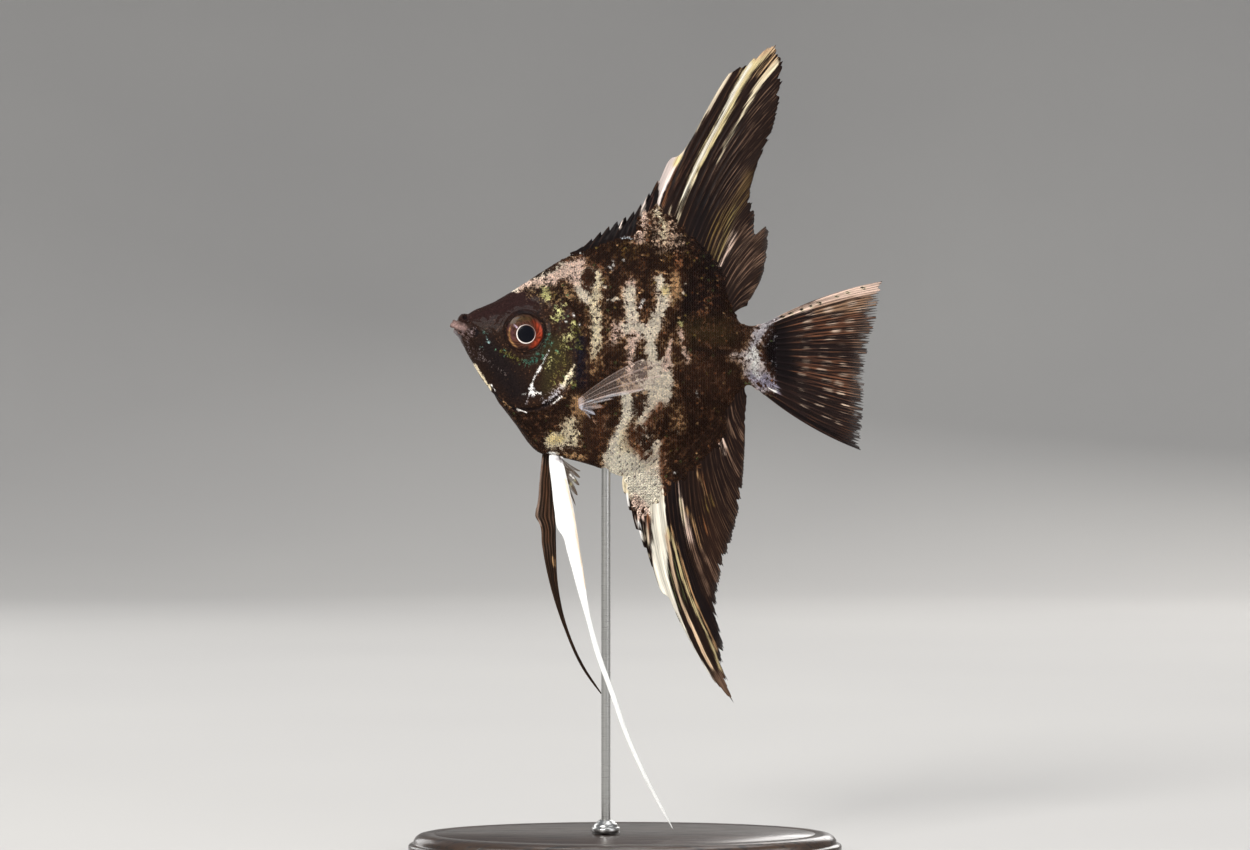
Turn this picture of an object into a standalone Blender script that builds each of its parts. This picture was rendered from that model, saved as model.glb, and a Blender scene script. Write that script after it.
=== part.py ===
"""Marble angelfish, a life-size still model on a display stand. Metres, +Z up.

The fish swims toward -X with its left flank toward -Y. The origin is the middle of the stand's
underside. The body is one loft, parted by thin cuts into trunk, head, jaws, gill covers and tail stalk.
The fins are thin plates whose edges run from ray tip to ray tip, and the eyes sit in round sockets.
"""

import bpy
import bmesh
import numpy as np

MM = 0.001  # outlines below are in millimetres

# Fits
GAP = 0.3  # clearance between neighbouring pieces
OUTSIDE = 14.0  # how far a cutter reaches past the flank
FORE_END = -60.0  # outer faces of the cutters that part the body, ahead, astern, above and below
AFT_END = 60.0
TOP_END = 152.0
FOOT_END = 70.0

# Body, as (x, value) along the fish from the lips to the root of the tail fin
BACK_LINE = [
    (-41.7, 128.3), (-41.3, 129.0), (-40.4, 129.2), (-39.9, 130.1), (-39.3, 130.8), (-38.2, 130.8),
    (-36.0, 131.9), (-32.0, 133.6), (-24.0, 138.4), (-16.0, 143.5), (-8.0, 147.0), (0.0, 149.5),
    (5.0, 150.3), (10.0, 149.8), (15.0, 147.2), (20.0, 142.8), (23.5, 137.6), (26.0, 131.9),
    (27.4, 129.2), (29.5, 128.2), (33.5, 128.8),
]
BELLY_LINE = [
    (-41.7, 127.8), (-41.2, 126.8), (-40.5, 125.8), (-39.0, 123.1), (-36.8, 118.9), (-32.5, 112.0),
    (-26.4, 104.0), (-22.0, 98.1), (-19.5, 96.5), (-16.0, 96.0), (-10.0, 94.6), (-5.0, 93.0),
    (-0.7, 91.4), (5.0, 92.6), (10.0, 95.1), (15.0, 98.3), (20.0, 102.8), (25.0, 108.6),
    (28.0, 112.3), (29.6, 113.3), (31.0, 112.7), (33.5, 110.9),
]
WIDEST_LINE = [
    (-41.7, 128.0), (-35.0, 125.2), (-25.0, 122.5), (-10.0, 119.0), (5.0, 120.0), (33.5, 121.0),
]
HALF_WIDTH = [
    (-41.7, 0.7), (-41.0, 1.5), (-39.0, 2.4), (-35.0, 3.6), (-29.0, 5.0), (-22.0, 6.0), (-14.0, 6.5),
    (-4.0, 6.4), (8.0, 5.5), (18.0, 4.1), (26.0, 2.8), (33.5, 1.8),
]
KEEL_UP = [(-41.7, 1.0), (-30.0, 1.2), (-18.0, 1.5), (20.0, 1.5), (33.5, 1.1)]
KEEL_DOWN = [(-41.7, 1.0), (-30.0, 1.15), (-10.0, 1.2), (10.0, 1.4), (20.0, 1.45), (33.5, 1.1)]
STATIONS = 44
STATION_CROWDING = 1.45  # over 1, the stations crowd toward the snout
RING_HALF = 12  # spans from the belly's edge to the back's

# Cuts through the body, as (x, z)
NAPE_CUT = [(-16.0, 152.0), (-14.4, 141.0), (-12.8, 135.0)]
GILL_EDGE = [
    (-11.9, 130.6), (-11.4, 126.0), (-11.3, 121.0), (-12.2, 116.4), (-14.6, 112.2), (-18.0, 109.3),
    (-22.0, 108.0), (-26.0, 108.0), (-29.0, 109.3),
]
THROAT_CUT = [(-31.0, 110.9), (-35.0, 114.2)]
GILL_FRONT = [
    (-26.6, 109.9), (-24.3, 111.6), (-22.3, 114.4), (-20.3, 118.0), (-18.6, 121.7), (-17.3, 125.6),
    (-15.7, 129.2), (-13.4, 131.0),
]
MOUTH_LINE = [
    (-44.0, 127.5), (-41.2, 126.9), (-40.0, 126.3), (-38.5, 125.9), (-37.2, 124.9), (-36.0, 123.2),
    (-34.4, 120.9),
]
SNOUT_CUT = [
    (-44.0, 129.9), (-40.2, 129.1), (-38.4, 128.4), (-36.6, 128.2), (-35.3, 127.3), (-34.8, 125.6),
    (-34.0, 123.2), (-33.4, 121.2), (-34.4, 120.9),
]
CHIN_CUT = [(-34.4, 120.9), (-33.6, 119.3), (-34.4, 117.4), (-38.0, 113.0)]
STALK_CUT = [(26.6, 136.0), (27.1, 129.0), (29.2, 113.5), (29.9, 108.0)]

# Gill covers
GILL_COVER_THICK = 1.1
COVER_SPAN = (-32.0, -8.0)  # along the fish, reaching past both ends of the covers
COVER_STATIONS = 16
COVER_INNER_Y = 0.8  # how near the two covers come at the throat
SLOT_INNER_Y = 0.5
SLOT_CLEARANCE = 1.0  # wider at the free rear edge than the other fits

# Eyes: a flattened ball, shallow toward the cornea and deep toward the brain
EYE_CENTRE = (-23.9, 4.75, 126.1)
EYE_RADIUS = 4.9
EYE_BULGE = 1.55
EYE_DEPTH = 3.3

# Fins: plate thickness at the root and at the edge, and how many spans a ray has
MEDIAN_FIN_THICK = (1.2, 0.6)
TAIL_FIN_THICK = (1.6, 0.6)
PAIRED_FIN_THICK = (0.8, 0.55)
RAY_SPANS = 5

# Dorsal fin, as (ray number, root x, tip x, tip z): twelve spines, then soft rays
DORSAL_SPINES = 12
DORSAL_FREE_SPINES = 10  # the first ones, whose tips stand clear of the web
DORSAL_RAYS = [
    (1, -11.8, -10.4, 146.7), (3, -7.9, -6.0, 150.3), (5, -4.1, -2.0, 152.8), (7, -0.8, 2.0, 155.2),
    (9, 1.8, 5.6, 159.4), (10, 3.1, 8.0, 162.8), (10.5, 3.7, 8.4, 161.6), (11, 4.3, 9.4, 165.2),
    (11.5, 4.9, 11.0, 168.0), (12, 5.5, 14.0, 169.8), (12.3, 5.9, 17.4, 175.2), (12.6, 6.3, 22.4, 184.6),
    (12.8, 6.6, 25.4, 189.2), (13, 7.0, 27.8, 190.4), (14, 8.7, 31.4, 192.9),
    (15, 10.2, 34.6, 195.2), (16, 11.6, 36.6, 195.8), (17, 12.9, 38.3, 191.8), (18, 14.2, 38.2, 187.0),
    (20, 16.4, 36.2, 176.8), (23, 19.2, 32.0, 166.4), (25, 20.8, 30.3, 160.0), (27, 22.2, 31.3, 154.6),
    (28, 22.9, 31.4, 150.0), (29, 23.5, 34.0, 151.9), (31, 24.6, 34.5, 147.6), (33, 25.5, 33.5, 141.0),
    (36, 26.5, 29.4, 132.6),
]
DORSAL_BOW = 0.06  # sideways bulge of a ray over its length, toward the head
DORSAL_LEADING_BOW = 0.3  # share of it that the spines and the leading rays keep
DORSAL_SWAY = 1.6

# Anal fin, in the same way: six spines, then soft rays
ANAL_SPINES = 6
ANAL_FREE_SPINES = 5
ANAL_RAYS = [
    (1, -0.6, -0.3, 88.0), (2, 0.8, 1.1, 84.0), (3, 2.2, 2.9, 79.2), (4, 3.6, 4.7, 75.0),
    (5, 5.0, 6.5, 70.4), (6, 6.4, 9.3, 63.4), (6.5, 7.0, 13.2, 56.6), (7, 7.6, 20.0, 44.5),
    (8, 8.8, 26.4, 36.9), (9, 9.9, 25.0, 42.2), (10, 11.0, 23.8, 46.6), (11, 12.0, 24.0, 50.0),
    (13, 13.6, 22.5, 57.4), (16, 16.4, 23.0, 66.6), (19, 19.2, 25.8, 76.0), (22, 22.0, 28.0, 86.0),
    (25, 24.6, 28.8, 96.4), (28, 27.0, 29.0, 105.4), (31, 28.7, 29.3, 110.9),
]
ANAL_BOW = 0.07
ANAL_LEADING_BOW = 1.0
ANAL_SWAY = -1.4

# Tail fin, as (ray number, root z, tip x, tip z)
TAIL_ROOT_X = 33.5
TAIL_RAYS = [
    (1, 128.6, 61.9, 138.6), (3, 127.1, 61.5, 134.0), (5, 125.3, 60.8, 129.0), (7, 123.2, 59.2, 124.2),
    (9, 120.8, 58.2, 119.2), (11, 118.2, 57.9, 114.0), (13, 115.6, 57.8, 108.6),
    (15, 113.2, 57.3, 103.2), (17, 110.9, 56.7, 97.9),
]
TAIL_BOW = 0.04
TAIL_SWAY = 1.8
RAY_NOTCH = 0.035  # how much shorter the web is than the rays beside it
SPINE_NOTCH = 0.34
BOW_RISE = 5.0  # soft rays over which a fin's bow grows to its full size

# Pectoral fins, as (ray number, root x, root z, tip x, tip z)
PECTORAL_RAYS = [
    (1, -10.6, 110.6, 4.5, 119.8), (3, -10.5, 110.0, 8.4, 118.7), (5, -10.4, 109.5, 8.9, 115.6),
    (7, -10.3, 109.0, 4.6, 112.4), (9, -10.2, 108.4, -2.6, 110.2), (11, -10.2, 107.8, -7.0, 106.4),
]
PECTORAL_SPREAD = 0.24  # outward slope of the fin, away from the flank
PECTORAL_BOW = 0.04
PECTORAL_SWAY = 1.2

# Pelvic fins, as (z, front x, rear x, outward y)
PELVIC_LEFT = [
    (96.0, -18.1, -14.5, 1.2), (90.0, -17.9, -14.0, 1.9), (80.0, -16.5, -11.7, 3.4),
    (70.0, -12.8, -10.1, 4.6), (60.0, -10.2, -8.8, 5.6), (50.0, -7.2, -5.9, 6.4),
    (40.0, -3.6, -2.4, 7.1), (30.0, 0.0, 1.05, 7.6), (20.0, 4.6, 5.5, 8.0), (8.0, 11.1, 11.7, 8.3),
]
PELVIC_RIGHT = [
    (96.0, -20.0, -16.6, 1.2), (90.0, -20.8, -17.0, 1.8), (85.0, -21.2, -16.9, 2.4),
    (75.0, -20.0, -16.6, 3.6), (65.0, -18.0, -16.1, 4.8), (55.0, -14.8, -13.9, 5.8),
    (45.0, -10.3, -9.5, 6.6), (37.5, -5.0, -4.4, 7.0),
]
PELVIC_ROWS = 22
PELVIC_COLUMNS = 4

# Stand
BASE_LENGTH = 104.0
BASE_WIDTH = 54.0
BASE_THICK = 6.0
BASE_EDGE = 0.8
ROD_X = -4.6
ROD_RADIUS = 1.1
ROD_FOOT_Z = 2.3
ROD_TOP_Z = 97.0
COLLAR_PROFILE = [(3.4, 0.0), (3.4, 1.2), (2.9, 1.8), (2.0, 2.6), (1.4, 3.0)]  # radius, height
COLLAR_STEPS = 16
ROUND_SIDES = 16
BASE_SIDES = 48

LEFT, RIGHT = -1.0, 1.0  # sides of the fish along Y


def clear_scene():
    for obj in list(bpy.data.objects):
        bpy.data.objects.remove(obj, do_unlink=True)


def new_collection(name):
    collection = bpy.data.collections.new(name)
    bpy.context.scene.collection.children.link(collection)
    return collection


def finish(name, colour, roughness, metallic=0.0):
    """A plain material of one colour, as linear red, green and blue."""
    material = bpy.data.materials.new(name)
    material.use_nodes = True
    shader = material.node_tree.nodes["Principled BSDF"]
    shader.inputs["Base Color"].default_value = (*colour, 1.0)
    shader.inputs["Roughness"].default_value = roughness
    shader.inputs["Metallic"].default_value = metallic
    return material


def add_mesh(name, points, faces, collection, material=None):
    """An object from points in millimetres."""
    mesh = bpy.data.meshes.new(name)
    mesh.from_pydata((np.asarray(points) * MM).tolist(), [], faces)
    obj = bpy.data.objects.new(name, mesh)
    collection.objects.link(obj)
    outward = bmesh.new()
    outward.from_mesh(mesh)
    bmesh.ops.recalc_face_normals(outward, faces=outward.faces)
    outward.to_mesh(mesh)
    outward.free()
    if material:
        mesh.materials.append(material)
    return obj


def hide_as_cutter(obj):
    obj.hide_render = True
    obj.display_type = "WIRE"
    return obj


def boolean(obj, operation, other):
    modifier = obj.modifiers.new(f"{operation.lower()} {other.name}", "BOOLEAN")
    modifier.operation = operation
    modifier.object = other
    modifier.solver = "EXACT"


def smooth(points, at):
    """The value at each of `at` of a smooth curve through (place, value) points.

    Each span is a cubic, and its slope at a point is the mean of the slopes on the point's two sides.
    """
    place, value = np.array(points, float).T
    slope = np.gradient(value, place)
    at = np.asarray(at, float)
    i = np.clip(np.searchsorted(place, at) - 1, 0, len(place) - 2)
    span = place[i + 1] - place[i]
    t = np.clip((at - place[i]) / span, 0.0, 1.0)
    start = (1 + 2 * t) * (1 - t) ** 2 * value[i] + t * (1 - t) ** 2 * span * slope[i]
    end = t * t * (3 - 2 * t) * value[i + 1] - t * t * (1 - t) * span * slope[i + 1]
    return start + end


def column(rows, k):
    """The rows' first number with their number k, as a curve's points."""
    return [(row[0], row[k]) for row in rows]


def shifted(line, distance):
    """A line in the XZ plane moved sideways by a distance, toward the left of its direction."""
    line = np.array(line, float)
    along = np.gradient(line, axis=0)
    normal = np.stack([-along[:, 1], along[:, 0]], axis=1)
    normal /= np.linalg.norm(normal, axis=1, keepdims=True)
    return line + normal * distance


def flank(x, z, inset=0.0):
    """The body's half width at a point of its side view."""
    middle = smooth(WIDEST_LINE, x)
    up = z > middle
    reach = np.where(up, smooth(BACK_LINE, x) - inset - middle, middle - inset - smooth(BELLY_LINE, x))
    keel = np.where(up, smooth(KEEL_UP, x), smooth(KEEL_DOWN, x))
    level = np.clip(np.abs(z - middle) / reach, 0.0, 1.0)
    return (smooth(HALF_WIDTH, x) - inset) * (1 - level**2) ** (keel / 2)


def body_loft(name, collection, first_x, last_x, stations, inset=0.0):
    """The whole body between two stations, or the same body a little smaller all round.

    A section's point at angle a from the widest level is sin(a) of the way to the back or the belly
    and cos(a) to the power of the keel's sharpness out from the middle plane.
    """
    step = np.linspace(0.0, 1.0, stations)
    x = first_x + (last_x - first_x) * step**STATION_CROWDING
    angle = np.linspace(-np.pi / 2, np.pi / 2, RING_HALF + 1)
    middle = smooth(WIDEST_LINE, x)[:, None]
    up = smooth(BACK_LINE, x)[:, None] - inset - middle
    down = middle - smooth(BELLY_LINE, x)[:, None] - inset
    z = middle + np.sin(angle) * np.where(angle > 0, up, down)
    keel = np.where(angle > 0, smooth(KEEL_UP, x)[:, None], smooth(KEEL_DOWN, x)[:, None])
    wide = smooth(HALF_WIDTH, x)[:, None] - inset
    y = wide * np.clip(np.cos(angle), 0.0, 1.0) ** keel
    ring_z = np.concatenate([z, z[:, -2:0:-1]], axis=1)
    ring_y = np.concatenate([-y, y[:, -2:0:-1]], axis=1)
    ring = ring_z.shape[1]
    ring_x = np.repeat(x[:, None], ring, axis=1)
    points = np.stack([ring_x, ring_y, ring_z], axis=2).reshape(-1, 3)
    faces = []
    for i in range(stations - 1):
        for j in range(ring):
            k = (j + 1) % ring
            faces.append((i * ring + j, i * ring + k, (i + 1) * ring + k, (i + 1) * ring + j))
    faces.append(tuple(range(ring)))
    faces.append(tuple((stations - 1) * ring + j for j in range(ring)))
    return add_mesh(name, points, faces, collection)


def slab(name, outline, collection, low_y=-OUTSIDE, high_y=OUTSIDE):
    """An outline in the XZ plane drawn out along Y, which cuts or keeps what lies inside it."""
    outline = np.asarray(outline)
    count = len(outline)
    points = [(x, y, z) for y in (low_y, high_y) for x, z in outline]
    faces = [tuple(range(count)), tuple(range(count, 2 * count))]
    for i in range(count):
        k = (i + 1) % count
        faces.append((i, k, count + k, count + i))
    return hide_as_cutter(add_mesh(name, points, faces, collection))


def flesh(name, keep, cuts, material, parts):
    """A piece of the body: the whole loft, kept inside one slab and cut by other shapes."""
    obj = body_loft(name, parts, BACK_LINE[0][0], BACK_LINE[-1][0], STATIONS)
    obj.data.materials.append(material)
    boolean(obj, "INTERSECT", keep)
    for cut in cuts:
        boolean(obj, "DIFFERENCE", cut)
    return obj


def eye_ball(name, side, grow, collection):
    """A ball flattened differently toward the cornea and toward the brain."""
    ball = bmesh.new()
    bmesh.ops.create_uvsphere(ball, u_segments=20, v_segments=10, radius=1.0)
    x, y, z = EYE_CENTRE
    for vert in ball.verts:
        # The sphere's poles turn to point across the head.
        vert.co.y, vert.co.z = vert.co.z, -vert.co.y
        outward = vert.co.y * side
        depth = EYE_BULGE if outward > 0 else EYE_DEPTH
        vert.co.x = (x + vert.co.x * (EYE_RADIUS + grow)) * MM
        vert.co.y = (y + outward * (depth + grow)) * side * MM
        vert.co.z = (z + vert.co.z * (EYE_RADIUS + grow)) * MM
    mesh = bpy.data.meshes.new(name)
    ball.to_mesh(mesh)
    ball.free()
    mesh.shade_smooth()
    obj = bpy.data.objects.new(name, mesh)
    collection.objects.link(obj)
    return obj


def fin(name, roots, tips, bow, sway, thick, material, parts):
    """A thin plate from a row of ray roots to a row of ray tips.

    A ray is a parabola from its root to its tip, bowed toward the head by its own share of its length,
    and the plate sways to one side with the square of the distance from the root. It thins from root
    to edge.
    """
    count = len(roots)
    t = np.linspace(0.0, 1.0, RAY_SPANS + 1)[None, :, None]
    run = (tips - roots)[:, None, :]
    across = np.stack([-run[..., 2], np.zeros_like(run[..., 0]), run[..., 0]], axis=2)
    grid = roots[:, None, :] + run * t + across * bow[:, None, None] * 4 * t * (1 - t)
    longest = np.linalg.norm(run, axis=2).max()
    reach = np.linalg.norm(grid - roots[:, None, :], axis=2) / longest
    grid[..., 1] += sway * reach**2
    faces = []
    for i in range(count - 1):
        for j in range(RAY_SPANS):
            a = i * (RAY_SPANS + 1) + j
            faces.append((a, a + 1, a + RAY_SPANS + 2, a + RAY_SPANS + 1))
    obj = add_mesh(name, grid.reshape(-1, 3), faces, parts, material)
    fullness = obj.vertex_groups.new(name="fullness")
    for j in range(RAY_SPANS + 1):
        row = [i * (RAY_SPANS + 1) + j for i in range(count)]
        fullness.add(row, 1.0 - j / RAY_SPANS, "REPLACE")
    plate = obj.modifiers.new("thickness", "SOLIDIFY")
    plate.thickness = thick[0] * MM
    plate.offset = 0.0
    plate.vertex_group = "fullness"
    plate.thickness_vertex_group = thick[1] / thick[0]
    return obj


def ray_numbers(spines, last, every=0.7):
    """Ray numbers with a web halfway between each pair of spines, and the soft rays `every` apart."""
    spiny = np.arange(1.0, spines + 0.25, 0.5)
    soft = np.arange(spines + 0.3, last - every / 2, every)
    return np.concatenate([spiny, soft, [last]])


def median_fin(name, rays, spines, free, line, away, bow, leading_bow, sway, material, parts):
    """A dorsal or anal fin, rooted along the back or belly line with a clearance."""
    number = ray_numbers(spines, rays[-1][0])
    root_x = smooth(column(rays, 1), number)
    tip_x = smooth(column(rays, 2), number)
    tip_z = smooth(column(rays, 3), number)
    edge = np.stack([root_x, smooth(line, root_x)], axis=1)
    edge = shifted(edge, away * (GAP + 0.08))
    roots = np.stack([edge[:, 0], np.zeros_like(root_x), edge[:, 1]], axis=1)
    tips = np.stack([tip_x, np.zeros_like(root_x), tip_z], axis=1)
    web = (number < free) & (np.abs(number % 1.0 - 0.5) < 0.1)
    tips[web] -= (tips - roots)[web] * SPINE_NOTCH
    rise = np.clip((number - spines - 1) / BOW_RISE, 0.0, 1.0)
    bows = bow * (leading_bow + (1 - leading_bow) * rise)
    return fin(name, roots, tips, bows, sway, MEDIAN_FIN_THICK, material, parts)


def tail_fin(material, parts):
    number = np.arange(TAIL_RAYS[0][0], TAIL_RAYS[-1][0] + 0.25, 0.5)
    root_z = smooth(column(TAIL_RAYS, 1), number)
    root_x = np.full_like(root_z, TAIL_ROOT_X + GAP + 0.1)
    roots = np.stack([root_x, np.zeros_like(root_z), root_z], axis=1)
    tip_x = smooth(column(TAIL_RAYS, 2), number)
    tip_z = smooth(column(TAIL_RAYS, 3), number)
    tips = np.stack([tip_x, np.zeros_like(root_z), tip_z], axis=1)
    web = np.abs(number % 1.0 - 0.5) < 0.1
    tips[web] -= (tips - roots)[web] * RAY_NOTCH
    middle = (number[0] + number[-1]) / 2
    bows = TAIL_BOW * (middle - number) / (number[-1] - middle)
    return fin("tail_fin", roots, tips, bows, TAIL_SWAY, TAIL_FIN_THICK, material, parts)


def pectoral_fin(name, side, material, parts):
    """A fan that leaves the flank behind the gill cover and leans outward."""
    number = np.arange(PECTORAL_RAYS[0][0], PECTORAL_RAYS[-1][0] + 0.5, 1.0)
    root_x, root_z, tip_x, tip_z = (smooth(column(PECTORAL_RAYS, k), number) for k in (1, 2, 3, 4))
    root_y = side * (flank(root_x, root_z) + GAP + PAIRED_FIN_THICK[0] / 2)
    tip_y = root_y + side * PECTORAL_SPREAD * (tip_x - root_x)
    roots = np.stack([root_x, root_y, root_z], axis=1)
    tips = np.stack([tip_x, tip_y, tip_z], axis=1)
    bows = np.full(len(number), PECTORAL_BOW)
    return fin(name, roots, tips, bows, side * PECTORAL_SWAY, PAIRED_FIN_THICK, material, parts)


def pelvic_fin(name, rows, side, material, parts):
    """A blade that narrows to a long thread, hung under the breast and led outward and back."""
    rows = rows[::-1]
    z = rows[-1][0] + (rows[0][0] - rows[-1][0]) * np.linspace(0.0, 1.0, PELVIC_ROWS)
    front, rear, out = (smooth(column(rows, k), z) for k in (1, 2, 3))
    share = np.linspace(0.0, 1.0, PELVIC_COLUMNS + 1)
    x = front[:, None] + (rear - front)[:, None] * share
    y = side * out[:, None] + 0 * x
    height = np.repeat(z[:, None], PELVIC_COLUMNS + 1, axis=1)
    height[0] = smooth(BELLY_LINE, x[0]) - GAP - 0.1
    points = np.stack([x, y, height], axis=2)
    faces = []
    for i in range(PELVIC_ROWS - 1):
        for j in range(PELVIC_COLUMNS):
            a = i * (PELVIC_COLUMNS + 1) + j
            faces.append((a, a + 1, a + PELVIC_COLUMNS + 2, a + PELVIC_COLUMNS + 1))
    obj = add_mesh(name, points.reshape(-1, 3), faces, parts, material)
    plate = obj.modifiers.new("thickness", "SOLIDIFY")
    plate.thickness = PAIRED_FIN_THICK[0] * MM
    plate.offset = 0.0
    return obj


def turned(name, profile, foot_z, material, parts):
    """A ring turned round the rod's axis from a (radius, height) profile of its outer side."""
    inner = ROD_RADIUS + GAP
    outline = [(r, h) for r, h in reversed(profile)] + [(inner, 0.0)]
    if profile[-1][0] > inner:
        outline = [(inner, profile[-1][1])] + outline
    mesh = bpy.data.meshes.new(name)
    points = [(r * MM, 0.0, (foot_z + h) * MM) for r, h in outline]
    count = len(points)
    mesh.from_pydata(points, [(i, (i + 1) % count) for i in range(count)], [])
    obj = bpy.data.objects.new(name, mesh)
    parts.objects.link(obj)
    obj.location.x = ROD_X * MM
    screw = obj.modifiers.new("turn", "SCREW")
    screw.steps = COLLAR_STEPS
    screw.render_steps = COLLAR_STEPS
    screw.use_merge_vertices = True
    screw.merge_threshold = 0.00001
    mesh.materials.append(material)
    return obj


def pin(name, radius, low_z, high_z, collection):
    """An upright round bar on the rod's axis."""
    bar = bmesh.new()
    length = (high_z - low_z) * MM
    bmesh.ops.create_cone(
        bar, cap_ends=True, segments=ROUND_SIDES, radius1=radius * MM, radius2=radius * MM, depth=length
    )
    mesh = bpy.data.meshes.new(name)
    bar.to_mesh(mesh)
    bar.free()
    obj = bpy.data.objects.new(name, mesh)
    collection.objects.link(obj)
    obj.location = (ROD_X * MM, 0.0, (low_z + high_z) / 2 * MM)
    return obj


def stand(parts, cutters):
    lacquer = finish("stand lacquer", (0.02, 0.019, 0.018), 0.35)
    steel = finish("stand steel", (0.55, 0.55, 0.54), 0.3, 1.0)
    oval = bmesh.new()
    bmesh.ops.create_cone(
        oval, cap_ends=True, segments=BASE_SIDES, radius1=0.5, radius2=0.5, depth=BASE_THICK * MM
    )
    for vert in oval.verts:
        vert.co.x *= BASE_LENGTH * MM
        vert.co.y *= BASE_WIDTH * MM
        vert.co.z += BASE_THICK * MM / 2
    mesh = bpy.data.meshes.new("stand_base")
    oval.to_mesh(mesh)
    oval.free()
    base = bpy.data.objects.new("stand_base", mesh)
    parts.objects.link(base)
    mesh.materials.append(lacquer)
    edge = base.modifiers.new("edge", "BEVEL")
    edge.width = BASE_EDGE * MM
    edge.segments = 1
    edge.limit_method = "ANGLE"
    above_base = BASE_THICK + OUTSIDE
    socket = hide_as_cutter(pin("base_socket", ROD_RADIUS + GAP, ROD_FOOT_Z - GAP, above_base, cutters))
    boolean(base, "DIFFERENCE", socket)
    rod = pin("stand_rod", ROD_RADIUS, ROD_FOOT_Z, ROD_TOP_Z, parts)
    rod.data.materials.append(steel)
    turned("stand_collar", COLLAR_PROFILE, BASE_THICK + GAP, steel, parts)


def body(parts, cutters):
    skin = finish("skin", (0.05, 0.035, 0.03), 0.4)
    lips = finish("lips", (0.3, 0.19, 0.17), 0.45)
    cover = finish("gill cover", (0.08, 0.09, 0.05), 0.35)
    pale = finish("tail stalk", (0.38, 0.35, 0.38), 0.4)
    half = GAP / 2

    front_line = np.array(NAPE_CUT + GILL_EDGE + THROAT_CUT)
    throat = THROAT_CUT[-1]
    head_outline = [(FORE_END, TOP_END), *shifted(front_line, -half), (FORE_END, throat[1])]
    head_keep = slab("head_keep", head_outline, cutters)
    stalk_line = np.array(STALK_CUT)
    stalk_top, stalk_foot = STALK_CUT[0], STALK_CUT[-1]
    trunk_outline = [
        *shifted(front_line, half), (throat[0], FOOT_END), (stalk_foot[0], FOOT_END),
        *shifted(stalk_line, -half)[::-1], (stalk_top[0], TOP_END),
    ]
    trunk_keep = slab("trunk_keep", trunk_outline, cutters)
    stalk_outline = [*shifted(stalk_line, half), (AFT_END, stalk_foot[1]), (AFT_END, stalk_top[1])]
    stalk_keep = slab("stalk_keep", stalk_outline, cutters)

    mouth = np.array(MOUTH_LINE)
    snout = np.array(SNOUT_CUT)
    chin = np.array(CHIN_CUT)
    chin_foot = CHIN_CUT[-1][1]
    upper_outline = [*shifted(snout, -half)[:-1], *shifted(mouth, half)[::-1]]
    upper_keep = slab("upper_keep", upper_outline, cutters)
    lower_outline = [*shifted(mouth, -half), *shifted(chin, -half)[1:], (MOUTH_LINE[0][0], chin_foot)]
    lower_keep = slab("lower_keep", lower_outline, cutters)
    jaw_outline = [
        *shifted(snout, half)[:-1], *shifted(chin, half)[1:],
        (FORE_END, chin_foot), (FORE_END, SNOUT_CUT[0][1]),
    ]
    jaw_block = slab("jaw_block", jaw_outline, cutters)

    inset = GILL_COVER_THICK
    lining = hide_as_cutter(body_loft("cover_lining", cutters, *COVER_SPAN, COVER_STATIONS, inset))
    core = hide_as_cutter(body_loft("gill_core", cutters, *COVER_SPAN, COVER_STATIONS, inset + GAP))
    rear = shifted(GILL_EDGE, -half)[:-1]
    cuts = [jaw_block]
    for side, word in ((LEFT, "left"), (RIGHT, "right")):
        near_y, far_y = sorted((side * COVER_INNER_Y, side * OUTSIDE))
        outline = [*rear, *GILL_FRONT]
        keep = slab(f"gill_keep_{word}", outline, cutters, near_y, far_y)
        flesh(f"gill_cover_{word}", keep, [lining], cover, parts)
        near_y, far_y = sorted((side * SLOT_INNER_Y, side * OUTSIDE))
        slot_outline = [*shifted(GILL_EDGE, SLOT_CLEARANCE)[:-1], *shifted(GILL_FRONT, GAP)]
        slot = slab(f"gill_slot_{word}", slot_outline, cutters, near_y, far_y)
        boolean(slot, "DIFFERENCE", core)
        cuts.append(slot)
        cuts.append(hide_as_cutter(eye_ball(f"socket_{word}", side, GAP, cutters)))
        eye = eye_ball(f"eye_{word}", side, 0.0, parts)
        eye.data.materials.append(finish(f"eye {word}", (0.25, 0.09, 0.03), 0.1))
    flesh("head", head_keep, cuts, skin, parts)
    flesh("upper_jaw", upper_keep, [], lips, parts)
    flesh("lower_jaw", lower_keep, [], skin, parts)
    rod_hole = hide_as_cutter(pin("rod_hole", ROD_RADIUS + GAP, FOOT_END, ROD_TOP_Z + GAP, cutters))
    flesh("trunk", trunk_keep, [rod_hole], skin, parts)
    flesh("tail_stalk", stalk_keep, [], pale, parts)


def fins(parts):
    dark = finish("fin web", (0.045, 0.03, 0.03), 0.45)
    clear = finish("pectoral web", (0.3, 0.26, 0.26), 0.3)
    white = finish("white pelvic", (0.8, 0.78, 0.74), 0.4)
    median_fin(
        "dorsal_fin", DORSAL_RAYS, DORSAL_SPINES, DORSAL_FREE_SPINES, BACK_LINE, 1,
        DORSAL_BOW, DORSAL_LEADING_BOW, DORSAL_SWAY, dark, parts,
    )
    median_fin(
        "anal_fin", ANAL_RAYS, ANAL_SPINES, ANAL_FREE_SPINES, BELLY_LINE, -1,
        -ANAL_BOW, ANAL_LEADING_BOW, ANAL_SWAY, dark, parts,
    )
    tail_fin(dark, parts)
    pectoral_fin("pectoral_left", LEFT, clear, parts)
    pectoral_fin("pectoral_right", RIGHT, clear, parts)
    pelvic_fin("pelvic_left", PELVIC_LEFT, LEFT, white, parts)
    pelvic_fin("pelvic_right", PELVIC_RIGHT, RIGHT, dark, parts)


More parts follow.
